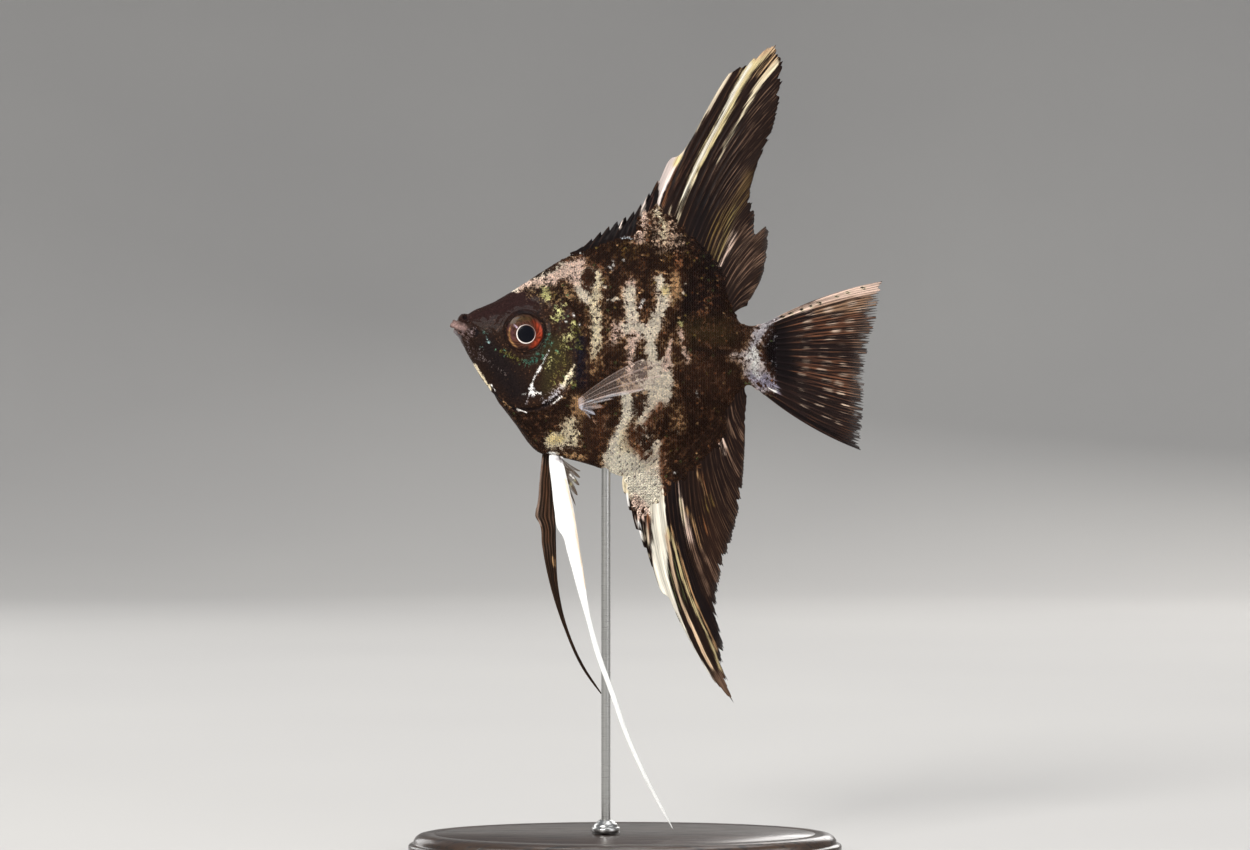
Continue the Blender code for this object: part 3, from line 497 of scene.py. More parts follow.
BODY_MARKS = [
    # colour, strength, softness, line
    under(NIGHT, 0.8, 3.0, (20, 148, 8), (20, 138, 10), (17, 128, 6), (14, 136, 6)),
    under(OLIVE, 0.6, 2.0, (16, 126.5, 5), (23, 126, 5)),
    under(BROWN, 0.9, 2.0, (19, 116, 7), (24, 113, 6)),
    under(BROWN, 0.8, 1.5, (-8, 104, 8), (-8.5, 99, 7)),
    under(NAVY, 0.9, 1.0, (-10.3, 124, 2.6), (-10.4, 114, 2.6)),
    under(PLUM, 1.0, 1.5, (-38, 129.5, 2), (-32, 131, 5), (-24, 134, 7)),
    over(linear(92, 66, 60), -0.02, 2.0, (-38, 129.5, 2), (-32, 131, 5), (-24, 134, 7)),
    under(NIGHT, 0.9, 2.0, (-33, 123, 5), (-29, 117, 8), (-26, 112, 6)),
    over(UMBER, -0.02, 2.0, (-34, 123, 5), (-30, 117, 8), (-24, 112, 7), (-20, 112, 4)),
    under(linear(50, 44, 26), 0.9, 1.6, (-17, 122.5, 5), (-16, 117, 6.5), (-17.5, 113.5, 4)),
    under(BROWN, 0.6, 1.0, (-14.6, 117.4, 2), (-16.5, 114.8, 2)),
    over(UMBER, 0.30, 2.0, (15, 127, 6), (22, 126, 6), (18, 117, 8), (24, 113, 6)),
    over(RUST, 0.26, 1.4, (18.8, 131, 3.4), (19.4, 137, 1.8)),
    over(RUST, 0.35, 1.0, (18.6, 130.5, 1.6), (19, 132.6, 1.2)),
    over(linear(108, 78, 42), 0.3, 1.6, (0, 146, 4), (8, 148, 4), (13, 143, 3)),
    over(UMBER, 0.33, 1.4, (-9, 131, 2), (-4.6, 128, 2), (-5, 120, 3), (-6, 113, 3)),
    # Front arms, from the nape down
    over(RUST, 0.38, 0.8, (-10.8, 142.5, 3.2), (-9, 141.6, 2.2), (-6.5, 142, 2.6), (-6.6, 139, 2.4)),
    over(PINK, 0.82, 0.6, (-10.8, 143.2, 1.4), (-11.2, 140, 2), (-11, 137.4, 2.2)),
    over(BONE, 0.85, 0.6, (-11, 137.2, 2.2), (-10.2, 135.4, 2.2), (-8.4, 133.6, 2.4)),
    over(RUST, 0.53, 0.5, (-6.5, 142.4, 1.4), (-6.5, 141, 1.5)),
    over(CREAM, 0.82, 0.5, (-6.6, 140, 1.3), (-6.8, 137, 1.5), (-7.2, 134.6, 2)),
    over(RUST, 0.32, 0.8, (-7.2, 131, 2.8), (-7.1, 122, 3.2)),
    over(
        CREAM, 0.84, 0.45, (-7.8, 133.2, 1.7), (-7.2, 132, 1.7), (-7, 130, 2), (-7, 126, 2.3),
        (-7.2, 123, 2), (-7.4, 120, 1.2),
    ),
    over(TAN, 0.6, 0.5, (-7.2, 119.5, 1), (-7.2, 116.8, 0.8)),
    over(BONE, 0.0, 0.4, (-9, 137.2, 2.4), (-9, 140, 2.8)),
    # Middle arms that meet in a pale band
    over(RUST, 0.38, 1.0, (1, 138, 3.4), (1, 134, 3.4), (7, 128.5, 4), (9, 134, 4)),
    over(PINK, 0.72, 0.7, (1, 137.6, 2.4), (1.1, 135.5, 2.6)),
    over(
        BONE, 0.86, 0.5, (1, 136, 2.4), (1.1, 133, 1.9), (1.4, 131, 2.5), (1.5, 128.5, 3.2),
        (2, 126.8, 3.4),
    ),
    over(PINK, 0.7, 0.7, (-2.4, 127.2, 1.6), (2, 127, 2.6), (6, 126.8, 2.6)),
    over(BONE, 0.84, 0.6, (0, 127, 2), (5.8, 126.6, 3)),
    over(PINK, 0.62, 0.6, (-1.5, 126, 1.2), (-2.7, 124.5, 1.1), (-3.3, 122.8, 1)),
    over(UMBER, 0.4, 0.8, (-3.3, 122.5, 1.2), (-3.2, 118, 1.4)),
    over(RUST, 0.53, 0.5, (12.5, 146.8, 1.2), (12.8, 144, 1.9), (12.8, 141.5, 1.7), (12.2, 139.5, 1.4)),
    over(TAN, 0.75, 0.5, (12.2, 139.5, 1.4), (11.8, 136, 1.5), (11.4, 134.2, 1.2)),
    over(TAN, 0.62, 0.5, (10.8, 137, 1), (10.4, 135, 1.2), (10, 133, 1.2)),
    over(
        BONE, 0.78, 0.5, (8.1, 139, 1.4), (8.7, 137, 2), (9, 135, 2.4), (9, 133.5, 2.4), (8.6, 132, 2.6),
        (8, 130.5, 2.6), (7.5, 129, 2.8), (6.6, 127.5, 3),
    ),
    over(YELLOW, 0.8, 0.5, (9.5, 136.8, 0.8), (9.6, 135.6, 0.8)),
    over(RUST, 0.47, 0.5, (3.8, 144.6, 0.8), (4, 143, 0.8)),
    over(SPECKLE, 0.46, 0.9, (8.5, 149.6, 1.6), (10, 147.6, 2), (13, 147.6, 2.4)),
    *SPECKLED_BACK,
    over(TAN, 0.7, 0.2, (7.3, 140.8, 0.3), (11, 139.8, 0.3)),
    over(WHITE, 0.8, 0.3, (4.2, 133.6, 0.5), (3.5, 132.2, 0.5)),
    over(PINK, 0.66, 0.5, (13, 125.9, 0.8), (13.8, 123.6, 0.9)),
    over(PINK, 0.6, 0.5, (14, 121.6, 0.7), (14.8, 119.3, 0.7)),
    # Lower arms and the great pale patch that runs down to the anal fin
    over(
        PINK, 0.72, 0.6, (2, 125.4, 1.6), (1.8, 122.5, 1.4), (1.3, 120.5, 1.3), (1.5, 118, 1.3),
        (1.1, 115.5, 2),
    ),
    over(linear(204, 176, 150), 0.6, 0.8, (0.4, 114.2, 3.0), (3.5, 113.4, 3.2)),
    over(BONE, 0.8, 0.6, (5.5, 113.6, 3), (7, 113.4, 6)),
    over(RUST, 0.38, 0.8, (10.8, 124.6, 1.2), (10, 120, 2.6), (11, 112, 3)),
    over(
        BONE, 0.9, 0.5, (5.9, 126, 2.8), (6, 124, 2.4), (5.9, 122, 2.2), (6.5, 120, 2.2), (8.4, 118, 4.6),
        (8.3, 115, 6), (8.1, 112, 5.6), (7.5, 110, 5), (6.4, 108, 3.2), (5.3, 106, 2.6), (3.6, 104, 3),
    ),
    over(PINK, 0.8, 0.4, (11, 124.2, 0.7), (10.3, 122, 1), (10, 120, 1.7), (9.9, 118, 2)),
    over(
        linear(246, 234, 212), 0.92, 0.5, (0.4, 110.6, 2.6), (0.3, 108, 2), (0, 105.5, 2.2),
        (-0.6, 103, 2.4), (-1.5, 101, 2.8), (-1.9, 99, 3.6), (-2.2, 97, 4.6), (-2, 95, 6.6), (-1, 93, 5.6),
    ),
    over(CREAM, 0.78, 0.6, (1.6, 103.4, 3), (0.8, 100, 4), (1.4, 97, 5), (2.6, 94.6, 7)),
    BELLY_PATCH,
    over(BONE, 0.84, 0.5, (7.8, 98.8, 3), (7.9, 96.4, 3), (7.2, 94.2, 4)),
    over(CREAM, 0.9, 0.6, (8.2, 84.4, 2.8), (8.2, 80, 3.4)),
    over(PINK, 0.5, 0.8, (2.6, 86, 1.6), (4, 83.4, 3), (4.6, 80, 2.6)),
    over(RUST, 0.38, 0.6, (9.6, 101, 1.2), (8.9, 97, 1), (9.2, 92, 0.8), (9.8, 86, 0.8)),
    over(RUST, 0.42, 0.6, (8.3, 108.6, 1.6), (7, 106.8, 1.6), (4.6, 103.6, 1.2)),
    over(RUST, 0.34, 0.9, (1.6, 103, 2), (2.6, 99.8, 3), (4.6, 96.6, 2)),
    over(BONE, 0.08, 0.5, (3.2, 121, 1.9), (3.3, 119, 1.6)),
    over(BONE, 0.1, 0.5, (3.3, 115.9, 2.2), (3.3, 115.3, 2)),
    over(BONE, 0.08, 0.5, (3, 110.2, 2.2), (3, 108, 2.4), (3, 106.8, 1.4)),
    over(BONE, 0.1, 0.5, (3.6, 102.6, 2), (4.6, 100.4, 2.6), (5.2, 98.6, 1.6)),
    over(BONE, 0.15, 0.4, (5.3, 96.2, 0.9), (4.9, 95, 0.8)),
    over(BONE, 0.1, 0.4, (8.3, 119.8, 0.9), (8.4, 120.4, 0.8)),
    # Belly and rear spots
    over(
        CREAM, 0.7, 0.8, (-17.2, 100, 2.8), (-15, 100.6, 3.6), (-13.6, 102, 3.6), (-12.8, 104.6, 2),
        (-12.4, 100, 2),
    ),
    over(YELLOW, 0.9, 0.5, (-17.4, 100.5, 1.4), (-15.6, 100.8, 1.4)),
    over(BONE, 0.1, 0.4, (-16, 97.7, 1.1), (-12, 97.9, 1.3)),
    over(TAN, 0.7, 0.4, (-14.2, 96.8, 0.6), (-10, 96.4, 0.7)),
    over(WHITE, 0.9, 0.3, (-18.4, 97.4, 0.5), (-16.8, 96.9, 0.5)),
    over(TAN, 0.74, 0.6, (-10.8, 110, 1.6), (-11, 107, 1.8)),
    over(PINK, 0.6, 0.8, (-6.1, 105, 1.3), (-6, 102.8, 1.3)),
    over(RUST, 0.32, 0.8, (-5.8, 108.5, 1.6), (-6.4, 99, 2)),
    over(TAN, 0.66, 0.6, (12.8, 106.8, 1.1), (12.7, 104.4, 1.3)),
    over(BONE, 0.7, 0.3, (12.2, 102.5, 0.6), (12.2, 102.2, 0.6)),
    # the belly's painted highlight
    PAINTED_BELLY_GLINT,
    over(BONE, 0.72, 0.3, (16.2, 103.8, 0.5), (16.4, 103.4, 0.5)),
    over(WHITE, 0.8, 0.3, (17.0, 111.6, 0.5), (17.2, 111, 0.5)),
    under(NIGHT, 0.8, 0.2, (14.9, 122.6, 0.2), (20, 122.2, 0.25), (25.8, 121.5, 0.2)),
    over(NIGHT, 0.0, 0.2, (14.9, 122.6, 0.2), (20, 122.2, 0.25), (25.8, 121.5, 0.2)),
    over(GOLD, 0.55, 0.3, (13, 128.7, 0.7), (13.3, 128.3, 0.7)),
    over(NIGHT, 0.0, 0.2, (14.6, 122.2, 0.35), (20, 121.6, 0.4), (25.4, 121.0, 0.35)),
    under(NIGHT, 0.9, 0.2, (14.6, 122.2, 0.35), (20, 121.6, 0.4), (25.4, 121.0, 0.35)),
    over(BONE, 0.8, 0.25, (14.3, 137.8, 0.4), (14.4, 137.6, 0.4)),
    over(BONE, 0.8, 0.25, (13.8, 135.8, 0.4), (13.9, 135.6, 0.4)),
    # Tail stalk
    under(NIGHT, 1.0, 0.7, (37.6, 126.4, 5.6), (36.8, 121, 7), (38.4, 116.4, 6)),
    over(
        linear(214, 200, 194), 0.72, 0.8, (26.2, 120.9, 0.6), (28.4, 120.6, 2.0), (30.0, 120.4, 3.8),
        (30.8, 118.4, 4.4), (32, 115.4, 4.6), (33.4, 113.4, 3),
    ),
    over(SLATE, 0.8, 0.7, (30.6, 122.6, 2), (31.6, 125.4, 1.7), (33, 127.6, 1.7), (35.2, 129.2, 1.4)),
    over(MAUVE, 0.66, 0.9, (31, 115.6, 2.6), (33, 114.6, 3), (34.8, 113.6, 2)),
    over(WHITE, 0.74, 0.6, (29.4, 120.4, 0.8), (31, 121.6, 1.2), (30.8, 118.4, 1.2), (31.6, 116, 0.8)),
    over(SLATE, 0.04, 0.6, (37.2, 126.4, 4.6), (36.4, 121, 7), (38.4, 116.4, 5)),
    # Nape and shoulder
    over(
        PINK, 0.76, 0.8, (-25.8, 136.8, 1.2), (-22.6, 137.9, 2.6), (-20, 138.2, 2.8), (-17.6, 139.6, 3.2),
        (-15.4, 140.8, 3), (-13, 140.8, 3.6), (-12.2, 138.6, 2.2),
    ),
    over(PINK, 0.74, 0.6, (-12.4, 142.6, 1.2), (-14.4, 141.6, 1.4)),
    over(
        BONE, 0.08, 0.5, (-22.2, 139.8, 1.2), (-19.6, 141.0, 2.0), (-16.6, 142.8, 2.2), (-14.6, 144.2, 1.0),
    ),
    over(linear(150, 122, 86), 0.4, 1.2, (-23, 135.2, 2), (-17, 134.4, 2.6)),
    over(BONE, 0.1, 0.5, (-13.4, 145.4, 1), (-11, 146.4, 1.4)),
    over(WHITE, 0.9, 0.25, (-10.7, 145.2, 0.5), (-9.8, 144.9, 0.4)),
    over(FROST, 0.6, 0.25, (-8.6, 146.3, 0.2), (-7.2, 146.6, 0.15)),
    over(TAN, 0.5, 0.6, (-14.6, 136.8, 2), (-13.2, 134.8, 1.6)),
    over(GOLD, 0.56, 0.7, (-19.6, 136.2, 0.7), (-18.4, 134.0, 0.7)),
    over(STRAW, 0.5, 0.8, (-15.9, 131.6, 0.5), (-16.0, 130.4, 0.8)),
    over(GOLD, 0.46, 0.6, (-17.1, 129.5, 0.7), (-16.8, 129.3, 0.6)),
    over(linear(206, 200, 142), 0.52, 0.8, (-12.2, 127.2, 0.6), (-13.2, 125.2, 1.2), (-14.4, 123.6, 1.0)),
    over(linear(130, 120, 68), 0.3, 1.0, (-14.4, 122.8, 1.6), (-15.6, 120.6, 1.6)),
    over(GOLD, 0.5, 0.5, (-17.5, 119.5, 0.7), (-18.3, 117.4, 0.7)),
    over(linear(108, 98, 52), 0.28, 1.0, (-15, 118.6, 3), (-16.8, 113.8, 3)),
    over(GREEN, 0.4, 0.8, (-11.8, 127, 1), (-10.6, 122, 1)),
    over(
        TEAL, 0.52, 0.8, (-24, 119.3, 0.6), (-21.5, 120.2, 0.9), (-19.8, 121.8, 0.9), (-18.6, 123.5, 0.7),
        (-18, 125.5, 0.5),
    ),
    over(TEAL, 0.5, 0.4, (-22.8, 118.6, 0.8), (-20, 120, 0.8)),
    over(GREEN, 0.5, 0.8, (-29.6, 121.4, 1.2), (-26, 119.6, 1.2)),
    over(WHITE, 0.5, 0.25, (-15.4, 134.5, 0.2), (-15.3, 134.4, 0.2)),
    over(WHITE, 0.6, 0.25, (-12.2, 130.4, 0.3), (-12.1, 130.2, 0.3)),
    over(WHITE, 0.5, 0.25, (-14.1, 128.7, 0.2), (-14, 128.6, 0.2)),
    over(WHITE, 0.6, 0.25, (-10.7, 127.9, 0.2), (-10.6, 127.7, 0.2)),
    over(WHITE, 0.62, 0.25, (-4.8, 141.5, 0.1), (-3.9, 142.1, 0.2), (-3.2, 141.2, 0.1)),
    over(WHITE, 0.6, 0.25, (-3.0, 143.2, 0.1), (-2.8, 142.2, 0.15)),
    over(WHITE, 0.6, 0.25, (-0.4, 143.3, 0.15), (-0.3, 143.1, 0.15)),
    over(BONE, 0.7, 0.3, (-5, 137.1, 0.5), (-4.9, 136.9, 0.5)),
    over(BONE, 0.75, 0.3, (-1.8, 134.2, 0.5), (-4.2, 133.6, 0.4)),
    over(linear(214, 224, 232), 0.66, 0.2, (-0.8, 148.7, 0.1), (0.4, 148.9, 0.2), (1.6, 148.6, 0.1)),
    # Gill cover, cheek and jaws
    over(CREAM, 0.84, 0.3, (-12, 118.2, 0.7), (-12.8, 116.2, 1.2), (-14.2, 114, 1.4), (-15.2, 112.8, 1)),
    over(SLATE, 0.56, 0.7, (-15.2, 112.6, 1.1), (-17, 110.8, 1.5), (-19, 109.7, 0.9)),
    over(WHITE, 0.9, 0.12, (-15, 110.9, 0.3), (-17, 109.1, 0.35)),
    under(
        NIGHT, 1.0, 0.3, (-11, 120, 0.4), (-12.6, 115.8, 0.5), (-15.4, 111.3, 0.6), (-20, 108, 0.7),
        (-26, 107.6, 0.7), (-30, 110, 0.6), (-35.6, 117, 0.5),
    ),
    over(
        WHITE, 0.97, 0.14, (-17.8, 122.5, 0.05), (-18.7, 120.5, 0.14), (-19.8, 118.4, 0.26),
        (-20.8, 116.7, 0.4), (-21.8, 115, 0.5), (-22.3, 113.4, 0.7),
    ),
    over(linear(224, 222, 222), 0.74, 0.45, (-22.2, 112.6, 1.1), (-22.4, 111.2, 1.6)),
    over(WHITE, 0.85, 0.2, (-24.5, 111.4, 0.3), (-20.2, 111.6, 0.5)),
    over(SLATE, 0.75, 0.3, (-22.8, 111, 0.8), (-23.8, 108.7, 0.4)),
    over(WHITE, 0.97, 0.1, (-25.8, 107.8, 0.45), (-23.7, 107, 0.5)),
    over(linear(84, 126, 116), 0.42, 0.5, (-33.9, 126.4, 0.25), (-33.4, 125.6, 0.25)),
    over(linear(140, 166, 164), 0.5, 0.4, (-33.2, 124.6, 0.2), (-32.6, 123.8, 0.3)),
    over(linear(96, 132, 124), 0.5, 0.4, (-34.4, 122.6, 0.5), (-33.7, 121.8, 0.4)),
    over(ASH, 0.5, 0.5, (-34.6, 121.6, 0.4), (-34, 119.8, 0.4)),
    over(ASH, 0.5, 0.5, (-33, 119.6, 0.3), (-31.4, 118.2, 0.35), (-28.6, 116.4, 0.3)),
    over(CREAM, 0.85, 0.3, (-36.2, 118.4, 0.8), (-34.2, 115.6, 0.9), (-32.2, 112.6, 0.8)),
    over(WHITE, 0.8, 0.15, (-32, 113.6, 0.3), (-31, 112.2, 0.3)),
    over(TAN, 0.6, 0.3, (-29.2, 109.6, 0.4), (-27.4, 108.2, 0.4)),
    over(BONE, 0.6, 0.3, (-26.7, 136.3, 0.7), (-26, 136.5, 0.6)),
    over(linear(120, 104, 104), 0.5, 0.8, (-38.6, 126.8, 1.4), (-36.6, 126.2, 1.4)),
    under(
        NIGHT, 1.0, 0.25, (-37, 126.9, 0.3), (-36, 127.2, 0.3), (-35.3, 126.2, 0.35), (-35.7, 125.2, 0.3),
    ),
    over(linear(98, 88, 90), 0.3, 0.9, (-38.2, 123.4, 1), (-35.4, 120, 1.2)),
    over(linear(110, 98, 96), 0.36, 0.6, (-35.4, 121.4, 0.3), (-31, 117.6, 0.4), (-28.4, 115.6, 0.2)),
    under(linear(158, 130, 124), 0.9, 0.5, (-41.6, 128, 1.2), (-39.6, 127.6, 1.3), (-38.4, 127.2, 1.2)),
    under(NIGHT, 1.0, 0.3, (-38.35, 129.75, 0.9), (-38.3, 129.7, 0.9)),
    under(SLATE, 0.4, 0.4, (-40.8, 126, 0.6), (-39.6, 124, 0.6)),
    under(
        NIGHT, 1.0, 0.5, (-23.9, 121.2, 0.5), (-28.4, 124, 0.5), (-28.6, 128.2, 0.5), (-25.4, 131, 0.6),
        (-21, 130.4, 0.6), (-18.9, 127, 0.6), (-19.8, 122.8, 0.6), (-23.9, 121.2, 0.5),
    ),
]

# Small sparks scattered over the gill cover, in gold and green, and in an arc under the eye, in blue-green
GILL_SPARKS = 44
EYE_SPARKS = 20
SPARK_HUES = [GOLD, STRAW, linear(146, 150, 82), linear(112, 146, 104)]
EYE_SPARK_HUE = linear(86, 140, 116)
sparks = np.random.default_rng(31)
for number in range(GILL_SPARKS + EYE_SPARKS):
    if number < GILL_SPARKS:
        spark_x, spark_z = sparks.uniform(-17.0, -11.4), sparks.uniform(113.0, 136.0)
        spark_hue = SPARK_HUES[sparks.integers(0, len(SPARK_HUES))]
    else:
        spark_turn, spark_away = np.radians(sparks.uniform(-150.0, -15.0)), sparks.uniform(6.4, 8.6)
        spark_x = EYE_CENTRE[0] + spark_away * np.cos(spark_turn)
        spark_z = EYE_CENTRE[2] + spark_away * np.sin(spark_turn)
        spark_hue = EYE_SPARK_HUE
    spark_end = (spark_x + 0.2, spark_z + sparks.uniform(-0.4, 0.4), 0.1)
    spark = over(spark_hue, sparks.uniform(0.45, 0.8), 0.2, (spark_x, spark_z, 0.16), spark_end)
    BODY_MARKS.append(spark)


def near(line, x, z):
    """Distance to a line of (x, z, width) points, less half the line's width there."""
    gap = np.full(x.shape, 99.0)
    for (ax, az, aw), (bx, bz, bw) in zip(line, line[1:]):
        run = (bx - ax) ** 2 + (bz - az) ** 2
        share = np.clip(((x - ax) * (bx - ax) + (z - az) * (bz - az)) / run, 0.0, 1.0)
        away = np.hypot(x - ax - share * (bx - ax), z - az - share * (bz - az))
        gap = np.minimum(gap, away - 0.5 * (aw + share * (bw - aw)))
    return gap


WANDER = [(0.42, 1.7, 0), (0.34, 0.7, 1)]
SHARP = 0.35
BOLD = 0.55
HALO_REACH = 2.4
MARK_REACH = 3.2


def pigment(x, z, marks, ground, glitter=0.24, ragged=1.0, halo=0.0, blur=1.0):
    """The ground colour, the pale colour and the pale one's cover at each point of the side view.

    Each mark's edge wanders by a cloudy value, and fades over the mark's softness on both sides. A bold
    pale mark with a soft edge also warms the ground round it to brown, by `halo`. `blur` widens the soft
    edges, those past the sharp one's softness.
    """
    wander = ragged * clouds(x, z, WANDER)
    deep = np.tile(ground, (len(x), 1))
    pale = np.tile(UMBER, (len(x), 1))
    cover = np.full(len(x), glitter)
    for layer, colour, strength, soft, line in marks:
        soft = soft * (blur if soft > SHARP else 1.0)
        xs, zs, widths = np.array(line).T
        reach = widths.max() / 2 + soft + MARK_REACH
        in_x = (x > xs.min() - reach) & (x < xs.max() + reach)
        in_z = (z > zs.min() - reach) & (z < zs.max() + reach)
        near_by = np.flatnonzero(in_x & in_z)
        if not len(near_by):
            continue
        rough = min(1.0, soft / 0.5)
        gap = near(line, x[near_by], z[near_by]) + rough * wander[near_by]
        share = 1 - step(gap, -soft, soft)
        if layer == "ground":
            deep[near_by] += (strength * share)[:, None] * (colour - deep[near_by])
            cover[near_by] *= 1 - 0.5 * strength * share
            continue
        if strength > BOLD and soft > SHARP:
            glow = (halo if np.isscalar(halo) else halo[near_by]) * (1 - step(gap, -0.3, HALO_REACH))
            deep[near_by] += 0.6 * glow[:, None] * (HALO - deep[near_by])
            thin = glow * (1 - step(cover[near_by], 0.3, 0.5))
            pale[near_by] += thin[:, None] * (TAN - pale[near_by])
            cover[near_by] += thin * np.maximum(0.34 - cover[near_by], 0.0)
        wide = 1 - step(gap, -soft * 0.5, soft * 1.3)
        pale[near_by] += wide[:, None] * (colour - pale[near_by])
        cover[near_by] += share * (strength - cover[near_by])
    return deep, pale, cover


ASIDE = 2.4


def body_pigment(x, y, z):
    """The body's markings. The right flank carries the same ones, moved a little behind the head.

    There each point takes the marking of a point aside from it, by a cloudy value times ASIDE both ways.
    """
    aside = (y > 0) * step(x, -14.0, -6.0) * np.clip(flank(x, z, 0.0) / 4.0, 0.0, 1.0)
    moved_x = x + aside * ASIDE * grain(x, z, 17.0, 2)
    moved_z = z + aside * ASIDE * grain(x, z, 15.0, 3)
    behind = step(x, -20.0, -14.0)
    return pigment(moved_x, moved_z, BODY_MARKS, BODY_GROUND, halo=behind, blur=1.5)


def colour_points(obj, deep, pale, **values):
    """Puts two colours and any plain values on a piece's points, for its material to read."""
    mesh = obj.data
    for name, colours in (("deep", deep), ("pale", pale)):
        spot = mesh.attributes.new(name, "FLOAT_COLOR", "POINT")
        spot.data.foreach_set("color", np.column_stack([colours, np.ones(len(colours))]).ravel())
    for name, numbers in values.items():
        spot = mesh.attributes.new(name, "FLOAT", "POINT")
        spot.data.foreach_set("value", np.asarray(numbers, np.float32).ravel())


def sums(tree, operation, first, second):
    """One arithmetic step on two numbers."""
    return node(tree, "ShaderNodeMath", {0: first, 1: second}, operation=operation).outputs[0]


def painted(tree, name, kind="Color"):
    """A colour or, with the kind "Fac", a number that was put on a piece's points."""
    return node(tree, "ShaderNodeAttribute", attribute_name=name).outputs[kind]


def shaded(tree, colour, light):
    """A colour times a number."""
    return node(tree, "ShaderNodeVectorMath", {0: colour, 3: light}, operation="SCALE").outputs[0]


def pigment_colour(tree, place, coarse, fine, shaken=1.25):
    """The colour of two pigments and the pale one's share, which fine grain breaks into flecks."""
    deep, pale, cover = painted(tree, "deep"), painted(tree, "pale"), painted(tree, "cover", "Fac")
    large = between(tree, noise(tree, place, coarse), 0.3, 0.7, -0.5, 0.5)
    small = between(tree, noise(tree, place, fine), 0.3, 0.7, -0.5, 0.5)
    flecks = sums(tree, "ADD", sums(tree, "MULTIPLY", large, 0.5), sums(tree, "MULTIPLY", small, 0.5))
    share = between(tree, sums(tree, "ADD", cover, sums(tree, "MULTIPLY", flecks, shaken)), 0.34, 0.66)
    worn = between(tree, noise(tree, place, coarse * 1.7), 0.3, 0.7, 0.6, 1.3)
    return shaded(tree, blended(tree, share, deep, pale), worn), share, small


def bump(tree, shader, height, distance, strength=1.0):
    """Fine relief on a shader, from a height between 0 and 1 and its distance in metres."""
    made = node(tree, "ShaderNodeBump", {"Height": height, "Distance": distance, "Strength": strength})
    tree.links.new(made.outputs["Normal"], shader.inputs["Normal"])


def living_skin(name, roughness):
    """Wet skin with flecked pigment. Its pale flecks are smoother."""
    material, tree, shader = new_material(
        name, coat_weight=0.03, coat_roughness=0.12, specular_ior_level=0.035
    )
    tone, share, small = pigment_colour(tree, object_place(tree), 1500.0, 3600.0, 1.15)
    tree.links.new(tone, shader.inputs["Base Color"])
    tree.links.new(between(tree, share, 0.0, 1.0, roughness, roughness * 0.7), shader.inputs["Roughness"])
    bump(tree, shader, small, 0.00012, 0.6)
    return material


skin_points, skin_faces = tube(body_rings())
for side in (LEFT, RIGHT):
    rim = orbit_ring(side)
    quads = grid_quads(len(rim), AROUND_EYE)
    wrap = np.arange(len(rim) - 1) * AROUND_EYE
    corners = [wrap + AROUND_EYE - 1, wrap, wrap + AROUND_EYE, wrap + 2 * AROUND_EYE - 1]
    rim_faces = np.concatenate([quads, np.stack(corners, axis=-1)]) + len(skin_points)
    skin_faces += (rim_faces if side == RIGHT else rim_faces[:, ::-1]).tolist()
    skin_points = np.concatenate([skin_points, rim.reshape(-1, 3)])
skin = new_mesh("skin", skin_points * MM, skin_faces, living_skin("wet skin", 0.42))
skin_deep, skin_pale, skin_cover = body_pigment(*skin_points.T)
colour_points(skin, skin_deep, skin_pale, cover=skin_cover)
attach(skin, "root")
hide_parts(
    "trunk", "head", "upper_jaw", "lower_jaw", "gill_cover_left", "gill_cover_right", "tail_stalk"
)

# Scales: thin rounded plates of bone in staggered rows over trunk, nape, breast and the scaly fin roots. Each
# is rooted in the skin under the one before it, and its free rear edge stands a little proud.
SCALE_ROW = 0.60
SCALE_STEP = [(-30.0, 0.85), (-15.0, 1.0), (-4.0, 1.15), (15.0, 1.12), (38.0, 0.9)]
SCALE_LENGTH = 0.82
SCALE_WIDTH = 0.60
SCALE_RISE = 0.085
SCALE_THICK = 0.04
SCALE_POINTS = 8
# shares of plates with a painted highlight (a glint) or a dark tip, spreads of chance in their lean and
# tone, and how much of a plate's marking comes from its own place and not from its root's
GLINT_SHARE = 0.08
DARK_TIP_SHARE = 0.5
LEAN_SPREAD = 0.05
SHADE_SPREAD = 0.15
LIGHT_SPREAD = 0.16
OWN_PLACE = 0.55
BRIGHTEST = 0.95
GLINTS = np.array([TAN, RUST, RUST, UMBER, linear(140, 118, 66), linear(84, 94, 56)])
# where scales grow: how far up a fin's root, from and to which height, along which stretch of the fins'
# roots, and up to where on the tail stalk. The back is what lies above the middle height.
SHEATH = 7.5
SCALED_HEIGHTS = (78.0, 160.0)
SCALED_ROOTS = (3.0, 24.0)
SCALED_END = 36.2
MID_HEIGHT = 120.0
SLOPE_STEP = 0.05
HEAD_EDGE = [
    (-29.5, 143.0), (-25.0, 136.9), (-20.0, 134.4), (-14.0, 133.2), (-11.0, 130.4), (-10.5, 126.0),
    (-10.4, 121.0), (-11.2, 116.0), (-13.8, 111.3), (-17.6, 108.2), (-22.0, 106.9), (-26.0, 106.9),
    (-30.0, 109.6),
]
# the coat's map: a plate's share of it, where it starts, and the length and girth that it covers
MAP_PATCH = 0.003
MAP_FRONT = -31.0
MAP_LENGTH = 70.0
MAP_MARGIN = 0.03
MAP_GIRTH = 104.0


def fin_root_half(x, z):
    """Half the thickness of a median fin's scaly root, and how far the point is past the body's outline."""
    above = z - (smooth(BACK_LINE, x) - SKIN_DEPTH)
    below = smooth(BELLY_LINE, x) + SKIN_DEPTH - z
    past = np.maximum(above, below)
    return 0.62 - 0.22 * step(past, 0.0, SHEATH), past


def coat_surface(x, z):
    """How far the coat's bed lies from the middle plane.

    It is the root of the flank's half width squared plus the fin root's squared, over the pectoral boss.
    """
    half, past = fin_root_half(x, z)
    inner = np.where(past < 0, flank(x, z), 0.0)
    return np.sqrt(inner**2 + (half * step(past, -2.5, 0.5)) ** 2) + pectoral_boss(x, z)


